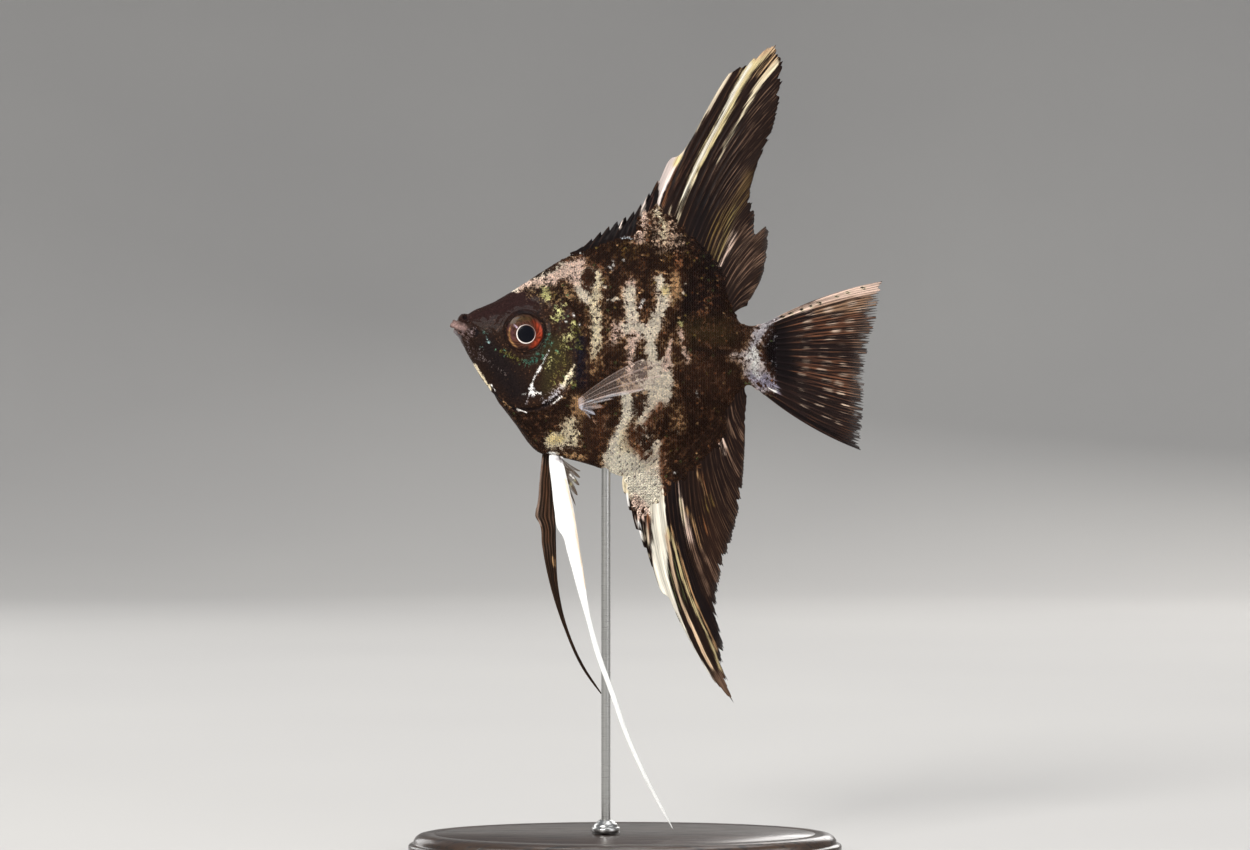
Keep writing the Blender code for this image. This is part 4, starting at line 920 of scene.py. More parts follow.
def one_scale():
    """Points (along, across, height) and faces of one plate: two rings and a middle above, a ring below.

    The rim is an oval, blunt to the rear, that rises evenly from its root to its free edge.
    """
    turn = np.arange(SCALE_POINTS) * 2 * np.pi / SCALE_POINTS
    along = SCALE_LENGTH * np.cos(turn) * np.where(np.cos(turn) > 0, 0.92, 1.0)
    across = SCALE_WIDTH * np.sign(np.sin(turn)) * np.abs(np.sin(turn)) ** 0.8
    rise = SCALE_RISE * (along + SCALE_LENGTH) / (2 * SCALE_LENGTH)
    rim = np.stack([along, across, rise], axis=1)
    centre = 0.5 * SCALE_RISE
    inner = np.stack([along * 0.6, across * 0.6, centre + 0.6 * (rise - centre) + 0.045], axis=1)
    below = rim - [0.0, 0.0, SCALE_THICK]
    middle = [[0.0, 0.0, centre + 0.06]]
    foot = [[0.0, 0.0, centre - SCALE_THICK]]
    k = np.arange(SCALE_POINTS)
    j = np.roll(k, -1)
    n = SCALE_POINTS
    quads = [[n + k, n + j, j, k], [k, j, 2 * n + j, 2 * n + k]]
    fans = [[np.full(n, 3 * n), n + j, n + k][::-1], [np.full(n, 3 * n + 1), 2 * n + k, 2 * n + j][::-1]]
    faces = [np.stack(corner, axis=1) for corner in fans + quads]
    return np.concatenate([rim, inner, below, middle, foot]), faces


def scale_roots():
    """Roots of the staggered rows, kept where scales grow, and each one's size.

    They grow behind the head's edge on the flank, and thin out up the roots of dorsal and anal fin.
    """
    spots = [SCALE_STEP[0][0]]
    while spots[-1] < SCALE_STEP[-1][0]:
        spots.append(spots[-1] + float(smooth(SCALE_STEP, spots[-1])) / 2)
    spots = np.array(spots)
    rows = np.arange(*SCALED_HEIGHTS, SCALE_ROW)
    column, row = np.meshgrid(np.arange(len(spots)), np.arange(len(rows)))
    kept = (column + row) % 2 == 0
    x, z = spots[column[kept]], rows[row[kept]]
    rng = np.random.default_rng(5)
    x = x + rng.normal(0.0, 0.035, len(x))
    z = z + rng.normal(0.0, 0.03, len(x))
    size = smooth(SCALE_STEP, x) / 1.15
    past = fin_root_half(x, z)[1]
    side = beside(HEAD_EDGE, x, z)[1]
    first, last = SCALED_ROOTS
    above = 0.5 * SHEATH + 3.4 * hump(x - 8.5, 4.5)
    below = SHEATH * step(x, -1.0, 4.0) + 5.0 * hump(x - 5.0, 3.6)
    reach = np.where(z > MID_HEIGHT, above * (x > first), below * (x > 0.0)) * (x < last)
    level = past / np.maximum(reach, 0.01)
    thinner = step(level, 0.5, 1.0)
    sparse = np.random.default_rng(23).random(len(x)) < 1.0 - 0.92 * thinner
    root = (past > 0) & (level < 1.0) & sparse
    size = size * (1 - 0.35 * thinner * (past > 0) * (z > MID_HEIGHT))
    ridge = np.where((x > first) & (x < last), 0.0, -0.35)
    grows = (side < 0) & ((past < ridge) | root) & (x < SCALED_END)
    return x[grows], z[grows], size[grows]


def girth_from_middle(x, z):
    """Length of the flank's curve at station x, from the widest line up or down (negative) to z."""
    middle = smooth(WIDEST_LINE, x)
    path_z = middle + (z - middle) * np.linspace(0.0, 1.0, 33)[:, None]
    path_y = coat_surface(np.broadcast_to(x, path_z.shape), path_z)
    return np.hypot(np.diff(path_z, axis=0), np.diff(path_y, axis=0)).sum(axis=0) * np.sign(z - middle)


def lay_map(obj, name, places):
    """A flat map on a piece, from one (u, v) place for each of its points."""
    corner = np.empty(len(obj.data.loops), np.int32)
    obj.data.loops.foreach_get("vertex_index", corner)
    laid = obj.data.uv_layers.new(name=name)
    laid.data.foreach_set("uv", places[corner].astype(np.float32).ravel())


def scale_coat(name, side, material):
    """One flank's scales as a joined mesh, each laid on the bed's slope with its free edge to the rear.

    A plate's point is its root, plus the plate's length along the lean, its width across, and its height
    along the bed's outward normal. The map unrolls the flank: length along X, and girth from the middle.
    """
    x, z, size = scale_roots()
    shape, faces = one_scale()
    rng = np.random.default_rng(17)
    bed = coat_surface(x, z)
    reach = SLOPE_STEP
    slope_x = (coat_surface(x + reach, z) - coat_surface(x - reach, z)) / (2 * reach)
    slope_z = (coat_surface(x, z + reach) - coat_surface(x, z - reach)) / (2 * reach)
    steepest = np.where((x > -2.0) & (x < SCALED_ROOTS[1]), 1.4, 2.5)
    slope_x, slope_z = np.clip(slope_x, -steepest, steepest), np.clip(slope_z, -steepest, steepest)
    out = np.stack([-slope_x, np.ones_like(x), -slope_z], axis=1)
    out /= np.linalg.norm(out, axis=1, keepdims=True)
    middle = smooth(WIDEST_LINE, x)
    outward = np.clip(np.abs(z - middle) / 28.0, 0.0, 1.6) ** 2
    lean = np.where(z > middle, 0.35, -0.6) * outward * step(x, -6.0, 8.0)
    lean = lean + rng.normal(0.0, LEAN_SPREAD, len(x))
    along = np.stack([np.cos(lean), np.zeros_like(x), np.sin(lean)], axis=1)
    along -= (along * out).sum(axis=1, keepdims=True) * out
    along /= np.linalg.norm(along, axis=1, keepdims=True)
    across = np.cross(out, along)
    root = np.stack([x, bed, z], axis=1)
    scale = size[:, None, None]
    lying = shape[:, 0, None] * along[:, None, :] + shape[:, 1, None] * across[:, None, :]
    points = root[:, None, :] + scale * lying
    points = points + (shape[:, 2, None] * np.sqrt(size)[:, None, None]) * out[:, None, :]
    points[..., 1] *= side
    count = len(shape)
    start = (np.arange(len(x)) * count)[:, None, None]
    joined = []
    for group in faces:
        joined += (group[None] + start).reshape(-1, group.shape[1]).tolist()
    flat = points.reshape(-1, 3)
    obj = new_mesh(name, flat * MM, joined, material)
    root_xz = np.repeat(np.stack([x, z], axis=1), count, axis=0)
    held = OWN_PLACE * flat[:, [0, 2]] + (1 - OWN_PLACE) * root_xz
    deep, pale, cover = body_pigment(held[:, 0], flat[:, 1], held[:, 1])
    tip = np.tile(shape[:, 0] / SCALE_LENGTH, len(x))
    dotted = (1 - step(root_xz[:, 1], 92.0, 100.0)) * step(cover, 0.4, 0.7)
    shade = np.repeat(rng.normal(0.0, SHADE_SPREAD, len(x)), count) * (1 - 0.5 * dotted)
    dark_tip = np.repeat(rng.random(len(x)) < DARK_TIP_SHARE, count) * step(tip, 0.4, 0.75)
    cover = cover + shade - 0.12 * step(tip, 0.35, 0.95) * (1 - dotted) + dotted * (0.3 - 1.4 * dark_tip)
    light = np.repeat(np.exp(rng.normal(0.0, LIGHT_SPREAD, len(x))), count)[:, None]
    # Painted highlights: a share of plates get a speck of glint colour at their middle, standing in for light
    # caught by the plate. It shows only where the pale pigment is thin.
    glint = rng.random(len(x)) < GLINT_SHARE
    spot = np.repeat([0.0, 0.45, 0.0, 1.0, 0.0], [SCALE_POINTS, SCALE_POINTS, SCALE_POINTS, 1, 1])
    power = rng.uniform(0.55, 0.95, len(x)) * glint
    bright = np.repeat(power, count) * np.tile(spot, len(x)) * (1 - step(cover, 0.3, 0.45))
    hue = np.repeat(GLINTS[rng.integers(0, len(GLINTS), len(x))], count, axis=0)
    pale = pale + (bright[:, None] > 0) * (hue - pale)
    cover = np.maximum(cover, bright)
    lit = pale * light
    lit /= np.maximum(lit.max(axis=1, keepdims=True) / BRIGHTEST, 1.0)
    colour_points(obj, deep * light, lit, cover=cover)
    patch = MAP_PATCH * 0.5 * np.tile(shape[:, :2] / [SCALE_LENGTH, SCALE_WIDTH], (len(x), 1))
    placed_x = MAP_MARGIN + (1 - 2 * MAP_MARGIN) * (root_xz[:, 0] - MAP_FRONT) / MAP_LENGTH
    placed_girth = 0.5 + np.repeat(girth_from_middle(x, z), count) / MAP_GIRTH
    lay_map(obj, "OFBake", np.stack([placed_x, placed_girth], axis=1) + patch)
    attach(obj, "root")


scale_finish = living_skin("scale", 0.4)
scale_coat("scales_left", LEFT, scale_finish)
scale_coat("scales_right", RIGHT, scale_finish)

# Eyes: a wet ball with a domed black pupil, a thin white ring, and an iris that is gold in front, brown
# above and orange-red behind. It sits in its socket, and the cornea's gloss is a clear coat over it, with a
# small painted highlight on the iris at the pupil's upper left.
PUPIL = 2.05
PUPIL_RING = 2.3
PUPIL_RISE = 0.10
PUPIL_LIP = (0.07, 2.18, 0.12)
WHITE_RING = 2.2
EYE_DEPTH = 3.2
PUPIL_SHIFT = (0.34, -0.42)
SPOKES = 5.0
SPOKE_LEAN = 1.3
RING_WHITE = linear(236, 226, 220)
PUPIL_BLACK = linear(10, 11, 18)
IRIS_GROUND = linear(70, 42, 32)
IRIS_SPOKE = linear(72, 42, 30)
IRIS_MARKS = [
    under(linear(60, 46, 26), 0.9, 0.7, (-27, 128.6, 1.2), (-25, 129.4, 1.6), (-22.8, 129.4, 1.2)),
    under(linear(40, 28, 22), 0.9, 0.7, (-25.6, 130.4, 0.5), (-23.4, 130.5, 0.9), (-21.4, 129.8, 0.9)),
    under(linear(76, 47, 50), 0.8, 0.6, (-27.6, 127.4, 0.9), (-26.8, 126, 0.9), (-26.6, 124.8, 0.8)),
    under(
        linear(176, 132, 84), 0.85, 0.3, (-27.3, 127.4, 0.1), (-27.7, 125.9, 0.2), (-27.4, 124.4, 0.3),
        (-26.7, 123.3, 0.2), (-25.7, 122.5, 0.1),
    ),
    under(IRIS_SPOKE, 0.8, 0.2, (-28.1, 126.9, 0.1), (-27.1, 126.7, 0.1)),
    under(IRIS_SPOKE, 0.8, 0.2, (-28.1, 125.0, 0.1), (-26.9, 125.2, 0.1)),
    under(IRIS_SPOKE, 0.8, 0.2, (-27.6, 123.4, 0.1), (-26.7, 124.2, 0.1)),
    under(linear(46, 28, 22), 0.9, 0.7, (-25.6, 122.9, 0.6), (-24.2, 122.0, 1.6), (-23.2, 122.2, 1.2)),
    under(
        linear(102, 38, 22), 0.9, 0.6, (-21.8, 128.6, 0.7), (-20.7, 127.6, 1.5), (-20.3, 125.8, 2.1),
        (-20.9, 124, 1.8), (-22.2, 122.5, 1.2),
    ),
    under(
        linear(148, 55, 32), 0.9, 0.6, (-20.9, 127.8, 0.4), (-20.1, 126.8, 0.9), (-19.9, 125.4, 1.2),
        (-20.6, 123.8, 1.1), (-21.8, 122.6, 0.7),
    ),
    # painted highlight: a short pinkish-white streak that stands in for the cornea's reflection
    under(linear(214, 190, 205), 0.9, 0.14, (-26.5, 127.9, 0.12), (-25.7, 127.2, 0.2)),
]


def eye_rings(side):
    """Rings from the cornea's middle to the back of the ball: two flattened domes, a step at the pupil."""
    outer = np.concatenate([np.linspace(0.04, 4.6, 74), np.linspace(4.65, EYE_RADIUS, 5)])
    front = eye_dome(outer, EYE_BULGE)
    front += PUPIL_RISE * (1 - step(outer, PUPIL - 0.35, PUPIL)) + bell_at(outer, PUPIL_LIP)
    inner = np.linspace(EYE_RADIUS * 0.98, 0.2, 14)
    radius = np.concatenate([outer, inner])[:, None]
    depth = np.concatenate([front, -eye_dome(inner, EYE_DEPTH)])[:, None]
    turn = full_turn(AROUND_EYE)
    striped = 0.018 * np.sin(turn * AROUND_EYE / 2) * step(radius, 2.4, 3.0) * (1 - step(radius, 4.3, 4.6))
    depth = depth + np.where(np.arange(len(radius))[:, None] < len(outer), striped, 0.0)
    aside = 1 - step(radius, 2.5, 4.4)
    x = EYE_CENTRE[0] + aside * PUPIL_SHIFT[0] + radius * np.cos(turn)
    z = EYE_CENTRE[2] + aside * PUPIL_SHIFT[1] + radius * np.sin(turn)
    return np.stack([x, side * (EYE_CENTRE[1] + depth), z], axis=2)


def iris_material():
    """Wet iris: its painted colour, with fine spokes and flecks that follow the radius."""
    material, tree, shader = new_material(
        "iris", coat_weight=0.08, coat_roughness=0.03, roughness=0.4, specular_ior_level=0.05
    )
    spokes = node(tree, "ShaderNodeUVMap", uv_map="spokes").outputs["UV"]
    deep = painted(tree, "deep")
    light = between(tree, noise(tree, spokes, 1.0, 3.0), 0.34, 0.66, 0.35, 1.6)
    tone = blended(tree, painted(tree, "iris", "Fac"), deep, shaded(tree, deep, light))
    tree.links.new(tone, shader.inputs["Base Color"])
    return material


iris_finish = iris_material()
for side, word in ((LEFT, "left"), (RIGHT, "right")):
    points, faces = tube(eye_rings(side))
    eye = new_mesh(f"eyeball_{word}", points * MM, faces, iris_finish)
    dx, dz = points[:, 0] - EYE_CENTRE[0], points[:, 2] - EYE_CENTRE[2]
    out = np.hypot(dx, dz)
    deep, pale = pigment(points[:, 0], points[:, 2], IRIS_MARKS, IRIS_GROUND, ragged=0.25)[:2]
    deep *= (1 - 0.85 * step(out, 4.0, 4.5))[:, None]
    dx, dz = dx - PUPIL_SHIFT[0], dz - PUPIL_SHIFT[1]
    out = np.hypot(dx, dz)
    ring_half = 0.06 + 0.045 * (-dx - dz) / np.maximum(out, 0.1)
    ring = (1 - step(np.abs(out - WHITE_RING) - ring_half, -0.04, 0.06))[:, None]
    deep += ring * (RING_WHITE - deep)
    deep += (1 - step(out, PUPIL - 0.07, PUPIL + 0.02))[:, None] * (PUPIL_BLACK - deep)
    colour_points(eye, deep, pale, iris=step(out, PUPIL_RING, PUPIL_RING + 0.3))
    aim = SPOKES * np.stack([dx, dz], axis=1) / np.maximum(out, 0.3)[:, None]
    lay_map(eye, "spokes", aim + SPOKE_LEAN * np.stack([out, -out], axis=1))
    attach(eye, "root")
    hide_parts(f"eye_{word}")

# Dorsal fin: twelve stiff spines, then long soft rays joined by a dark web, drawn up into a blade. Scales
# run up its root, and its rear lobe is a thinner brown web.
COLUMNS_PER_RAY = 10
FIN_ROWS = 54
ROOT_REACH = 1.9
WEB_HALF = 0.06
RAY_SWELL = 0.26
RIPPLE = 0.16
FIN_RAGGED = 0.35
LOBE_LAG = 0.15
DORSAL_SPINES = 12
DORSAL_RAYS = [
    # ray number, root's x, tip's x and z
    (1, -11.8, -10.4, 146.7), (3, -7.9, -6.0, 150.3), (5, -4.1, -2.0, 152.8), (7, -0.8, 2.0, 155.2),
    (9, 1.8, 5.6, 159.4), (10, 3.1, 8.0, 162.8), (10.5, 3.7, 8.4, 161.6), (11, 4.3, 9.4, 165.2),
    (11.5, 4.9, 11.0, 168.0), (12, 5.5, 14.0, 169.8), (12.3, 5.9, 17.4, 175.2), (12.6, 6.3, 22.4, 184.6),
    (12.8, 6.6, 25.4, 189.2), (13, 7.0, 27.8, 190.4), (14, 8.7, 31.4, 192.9),
    (15, 10.2, 34.6, 195.2), (16, 11.6, 36.6, 195.8), (17, 12.9, 38.3, 191.8), (18, 14.2, 38.2, 187.0),
    (20, 16.4, 36.2, 176.8), (23, 19.2, 32.0, 166.4), (25, 20.8, 30.3, 160.0), (27, 22.2, 31.3, 154.6),
    (28, 22.9, 31.4, 150.0), (29, 23.5, 34.0, 151.9), (31, 24.6, 34.5, 147.6), (33, 25.5, 33.5, 141.0),
    (36, 26.5, 29.4, 132.6),
]
FIN_GROUND = linear(36, 24, 20)
IVORY = linear(250, 243, 226)
TAUPE = linear(128, 100, 82)
DUSK = linear(46, 33, 27)
COCOA = linear(112, 78, 68)
SHELL = linear(236, 220, 208)
DORSAL_MARKS = [
    # colour, strength, softness, line
    under(NIGHT, 0.9, 2.5, (15, 142, 5), (17, 150, 4), (19, 158, 4)),
    under(DUSK, 0.9, 2.0, (25, 146, 5), (29, 148, 6), (33, 148, 5)),
    under(DUSK, 0.9, 2.0, (26, 137, 3), (31, 142, 6)),
    over(linear(122, 98, 58), 0.42, 2.0, (20, 144, 2), (24, 154, 5), (29, 164, 3)),
    over(TAUPE, 0.34, 1.6, (24.6, 147, 5), (28, 150, 6), (32.5, 149, 4)),
    over(TAUPE, 0.32, 1.4, (26, 139, 4), (29.6, 144, 6), (33, 144, 3)),
    over(TAUPE, 0.3, 1.2, (27.6, 132.6, 2), (30.4, 136.6, 3)),
    over(PINK, 0.42, 0.8, (22, 141, 1.2), (24.4, 146, 1.6), (26, 150, 1.0)),
    over(linear(146, 126, 78), 0.4, 0.8, (21.6, 143, 0.8), (24, 149, 1.0), (26.4, 156, 0.8)),
    over(TAUPE, 0.2, 2.6, (22, 160, 6), (28, 172, 7), (33, 184, 5)),
    under(NIGHT, 1.0, 1.2, (-9, 147, 5), (-3, 150.6, 6), (2, 153.4, 6), (6.2, 158.6, 4)),
    *SPECKLED_BACK,
    over(CREAM, 0.62, 0.4, (6.4, 150.0, 0.4), (7.2, 155.4, 0.2)),
    over(CREAM, 0.62, 0.4, (9.6, 151.0, 0.4), (11.0, 156.4, 0.2)),
    over(PINK, 0.62, 0.4, (11.6, 151.0, 0.4), (13.4, 156.8, 0.2)),
    over(COCOA, 0.4, 0.5, (5.4, 152, 0.6), (6.2, 156, 0.6), (6.6, 159, 0.5)),
    over(linear(244, 228, 220), 0.8, 0.4, (8.0, 155.6, 0.4), (8.3, 158, 0.8), (8.8, 160.6, 1.2)),
    over(COCOA, 0.42, 0.3, (10.2, 155, 0.3), (11.8, 160, 0.3), (15, 166.6, 0.3), (18, 172, 0.3)),
    over(
        linear(246, 228, 220), 1.0, 0.4, (8.9, 160.8, 1.6), (9.6, 163.4, 2.6), (10.6, 166, 3),
        (12.2, 168.2, 2.4), (13.8, 169.6, 1),
    ),
    over(YELLOW, 0.9, 0.4, (12.0, 166.4, 0.7), (13.4, 168.6, 0.8)),
    over(RUST, 0.72, 0.3, (12.5, 166.0, 0.4), (10.4, 160.9, 0.5), (9.0, 156.6, 0.5)),
    over(
        linear(244, 228, 200), 0.88, 0.3, (13.2, 169.4, 0.9), (15.9, 173.4, 0.8), (18.6, 178.1, 0.8),
        (22.6, 184.5, 0.8), (25.7, 189.4, 0.6),
    ),
    over(
        CREAM, 0.66, 0.6, (12.4, 153, 0.5), (13.2, 156.2, 0.7), (14.2, 158.8, 0.8), (15, 161, 1.2),
        (16.4, 163.6, 2),
    ),
    over(
        linear(226, 208, 158), 0.86, 0.6, (15.2, 162.1, 0.6), (17.6, 166.7, 1.7), (20, 171.3, 1.9),
        (22.6, 175.9, 1.7), (25, 180.4, 1.5), (27.1, 185, 1.6), (29.7, 189.6, 2.1), (32.6, 192.8, 2.4),
        (35.2, 195, 1.6),
    ),
    over(
        IVORY, 0.74, 0.35, (13.9, 158.6, 0.4), (17.0, 166, 0.6), (21.6, 174.8, 0.6), (26.6, 184.9, 0.5),
        (30, 190.6, 0.5),
    ),
    over(
        CREAM, 0.78, 0.5, (22.1, 167.3, 0.2), (24.1, 171.3, 0.3), (26.9, 175.9, 0.5), (29.1, 180.4, 0.8),
        (31.7, 185, 1.0), (34, 188.2, 1.2), (36.3, 191.2, 1.6),
    ),
    over(linear(212, 178, 142), 0.66, 0.8, (31.6, 192.4, 1), (34, 194.2, 1.4), (36, 195, 1.6)),
    over(linear(190, 156, 118), 0.48, 0.8, (31.4, 187.6, 0.8), (34, 190.6, 1.2), (36.4, 193, 1.2)),
    over(SHELL, 0.75, 0.3, (-1.2, 151.4, 0.6), (-0.7, 153.2, 0.4)),
    over(SHELL, 0.75, 0.4, (4.0, 154.2, 0.4), (4.5, 156.4, 0.8), (4.9, 158.6, 0.5)),
    over(FROST, 0.62, 0.15, (-1, 148.9, 0.1), (1.8, 148.9, 0.1)),
]


def curves(rows, at):
    """The values at each of `at` of the smooth curves through the rows' second numbers, third numbers, ..."""
    return [smooth([(row[0], row[k]) for row in rows], at) for k in range(1, len(rows[0]))]


def in_plane(x, z, y=0.0):
    """Points from their places along X and Z, all at one place across, or each at its own."""
    return np.stack([x, y + 0 * x, z], axis=1)


def off_ray(number):
    """How far a ray number is from the nearest ray, from 0 on it to 1 midway between two."""
    return np.abs(number - np.round(number)) * 2


def slimmer(t):
    """One at a fin's root, less along a ray, and zero at its tip."""
    return np.clip(1 - t, 0.0, 1.0)


def plate(left, right):
    """Points and faces of a thin closed sheet: two like grids joined round their border."""
    rows, columns = left.shape[:2]
    index = np.arange(rows * columns).reshape(rows, columns)
    edge = np.concatenate([index[0, :-1], index[:-1, -1], index[-1, :0:-1], index[:0:-1, 0]])
    ahead = np.roll(edge, -1)
    count = rows * columns
    side = np.stack([ahead, edge, edge + count, ahead + count], axis=-1)
    faces = np.concatenate([grid_quads(rows, columns), grid_quads(rows, columns, count)[:, ::-1], side])
    return np.concatenate([left.reshape(-1, 3), right.reshape(-1, 3)]), faces.tolist()


def ray_ridges(number, along, branched):
    """How near each point is to a ray's line, from 0 in the web to 1: bells of the distance from the lines.

    A soft ray forks twice on its way out, into two lines and then into four.
    """
    off = number - np.round(number)
    single = hump(off, 0.17)
    double = hump(np.abs(off) - 0.2, 0.1)
    fourfold = hump(np.abs(np.abs(off) - 0.25) - 0.125, 0.07)
    first = step(along, 0.3, 0.5) * branched
    second = step(along, 0.6, 0.8) * branched
    return single * (1 - first) + (double * (1 - second) + fourfold * second) * first


def ray_fan(number, roots, tips, bow, sway, depth, notch, start=ROOT_REACH):
    """The middle plane of a fin as a grid of (ray, row): each ray is a parabola bowed toward the head.

    The sheet sways with the square of the distance from the root, and starts inside the body. `notch` is
    how much of each ray is missing at the margin.
    """
    run = tips - roots
    length = np.linalg.norm(run, axis=1)
    along = np.linspace(0.0, 1.0, FIN_ROWS)[None, :]
    t = -start / length[:, None] + (1 - notch[:, None] + start / length[:, None]) * along
    across = np.stack([-run[:, 2], np.zeros_like(length), run[:, 0]], axis=1)
    bowed = across[:, None] * (bow * 4 * t * (1 - t))[..., None]
    middle = roots[:, None] + run[:, None] * t[..., None] + bowed
    reach = np.linalg.norm(middle - roots[:, None], axis=2) / length.max()
    ripple = RIPPLE * np.sin(number * 1.9)[:, None] * np.clip(t, 0, 1) * depth
    middle[..., 1] += sway * reach**2 + ripple
    return middle, t, length


def on_both_faces(values, like):
    """One value for each point of a fin's two faces, from a grid or a part of one."""
    return np.tile(np.broadcast_to(values, like.shape).ravel(), 2)


def fin_piece(
    name, middle, half, number, t, length, marks, ground, ray, clear, material, glitter=0.14, lined=0.36,
    normal=(0.0, 1.0, 0.0),
):
    """A fin from its middle plane and half thickness, with its markings and a map along its rays.

    Its two faces lie half a thickness each way along the normal. The map's u is the ray number, and its v
    the distance from the root in centimetres.
    """
    out = np.array(normal) * half[..., None]
    points, faces = plate(middle - out, middle + out)
    obj = new_mesh(name, points * MM, faces, material)
    deep, pale, cover = pigment(points[:, 0], points[:, 2], marks, ground, glitter, FIN_RAGGED)
    ray, clear = on_both_faces(ray, t), on_both_faces(clear, t)
    colour_points(obj, deep, pale, cover=cover + lined * (ray - 0.4), ray=ray, clear=clear)
    places = [on_both_faces(number[:, None], t), on_both_faces(t * length[:, None] / 10.0, t)]
    lay_map(obj, "rays", np.stack(places, axis=1))
    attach(obj, "root")
    return obj


def drawn_out(tree, place, scale):
    """A place times a scale for each axis, so that a pattern on it is drawn out along the smallest."""
    return node(tree, "ShaderNodeMapping", {"Vector": place, "Scale": scale}).outputs[0]


def web_material(name, roughness, ray_shade, web_shade, shaken=1.1):
    """Fin web with flecks drawn out along the rays. A clear web lets the light through."""
    material, tree, shader = new_material(
        name, coat_weight=0.02, coat_roughness=0.2, roughness=roughness, specular_ior_level=0.04
    )
    lines = node(tree, "ShaderNodeUVMap", uv_map="rays").outputs["UV"]
    drawn = drawn_out(tree, lines, (9.0, 0.8, 1.0))
    tone, _, small = pigment_colour(tree, drawn, 1.0, 2.6, shaken)
    shade = between(tree, painted(tree, "ray", "Fac"), 0.0, 1.0, web_shade, ray_shade)
    tree.links.new(shaded(tree, tone, shade), shader.inputs["Base Color"])
    clear = painted(tree, "clear", "Fac")
    tree.links.new(between(tree, clear, 0.0, 1.0, 1.0, 0.0), shader.inputs["Alpha"])
    bump(tree, shader, small, 0.0001, 0.5)
    return material


def fin_columns(first, last):
    """Ray numbers at the fin's columns, with each ray on a column."""
    return np.linspace(first, last, int(round((last - first) * COLUMNS_PER_RAY)) + 1)


def median_fin(
    name, rays, marks, line, away, spines, free, comb, sag, bow, stiff, sway, thick, tear, seed, clearness
):
    """A dorsal or anal fin. Webs sag between the free spines, and soft rays end in a frayed edge.

    Behind each free spine the margin drops by the comb's depth, less by the square of the way to the next
    spine. A soft ray's bow grows from its stiff share to the whole over the first rays, and a web is torn
    back by a random depth times the distance from the nearest ray.
    """
    number = fin_columns(1, rays[-1][0])
    root_x, tip_x, tip_z = curves(rays, number)
    roots = in_plane(root_x, smooth(line, root_x) + away * SKIN_DEPTH)
    tips = in_plane(tip_x, tip_z)
    off = off_ray(number)
    rng = np.random.default_rng(seed)
    torn = np.abs(rng.normal(0.0, tear, int(rays[-1][0]) + 2))[np.round(number).astype(int)]
    fray = 0.008 + tear * 0.5 * (1 - np.cos(np.pi * off * 4)) * 0.5
    behind = number - LOBE_LAG - np.floor(number - LOBE_LAG + 0.001)
    deepest = np.minimum(comb, 0.5 * np.linalg.norm(tips - roots, axis=1))
    tips += (deepest * (1 - behind) ** 2 * (number < free))[:, None] * sag
    notch = np.where(number > spines + 0.5, torn * off + fray, 0.004)
    eased = bow * (stiff + (1 - stiff) * step(number, spines + 1.0, spines + 6.0))
    middle, t, length = ray_fan(number, roots, tips, eased[:, None], sway, 1.0, notch)
    branched = step(number, spines + 0.4, spines + 0.9)[:, None]
    ray = ray_ridges(number[:, None], t, branched)
    spine = hump((number - np.round(number))[:, None], 0.2)
    ray = np.where((number < free + 0.5)[:, None], spine, ray)
    slim = slimmer(t) ** 0.8
    clear_of_scales = 0.2 + 0.8 * step(t * length[:, None], 8.0, 13.0)
    half = WEB_HALF + thick * slim**2 * 0.5 + (0.07 + RAY_SWELL * slim) * ray * clear_of_scales
    clear = clearness(number[:, None], t) * (1 - 0.8 * ray)
    return fin_piece(name, middle, half, number, t, length, marks, FIN_GROUND, ray, clear, fin_finish)


def dorsal_clear(number, t):
    """The web is clearest at the frayed rim of the rear lobe."""
    rear_lobe = 0.4 * step(t, 0.76, 1.0) * step(number, 24.0, 29.0)
    return rear_lobe + 0.2 * step(t, 0.9, 1.0) * step(number, 17.0, 20.0)


fin_finish = web_material("fin web", 0.46, 1.05, 0.58)
dorsal = median_fin(
    "dorsal_blade", DORSAL_RAYS, DORSAL_MARKS, BACK_LINE, away=1, spines=DORSAL_SPINES, free=10, comb=1.5,
    sag=(0.0, 0.0, -1.0), bow=0.06, stiff=0.3, sway=1.6, thick=0.9, tear=0.035, seed=3,
    clearness=dorsal_clear,
)
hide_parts("dorsal_fin")

# Anal fin: six spines along its front edge, then soft rays, the first ones drawn down into a long point.
# Its pale streaks run along the rays, and scales with dark tips run down its root.
ANAL_SPINES = 6
ANAL_RAYS = [
    # ray number, root's x, tip's x and z
    (1, -0.6, -0.3, 88.0), (2, 0.8, 0.9, 84.0), (3, 2.2, 2.5, 79.4), (4, 3.6, 4.4, 75.0),
    (5, 5.0, 6.3, 70.6), (5.5, 5.7, 7.1, 67.0), (6, 6.4, 9.2, 63.5), (6.2, 6.6, 10.5, 62.6),
    (6.5, 7.0, 13.2, 56.6), (7, 7.6, 20.0, 44.5), (8, 8.8, 26.4, 36.9), (9, 9.9, 25.0, 42.2),
    (10, 11.0, 23.8, 46.6), (11, 12.0, 24.0, 50.0), (13, 13.6, 22.5, 57.4), (16, 16.4, 23.0, 66.6),
    (19, 19.2, 25.8, 76.0), (22, 22.0, 28.0, 86.0), (25, 24.6, 28.8, 96.4), (28, 27.0, 29.0, 105.4),
    (31, 28.7, 29.3, 110.9),
]
MOSS = linear(104, 122, 74)
AMBER = linear(150, 98, 62)
MUSTARD = linear(136, 112, 60)
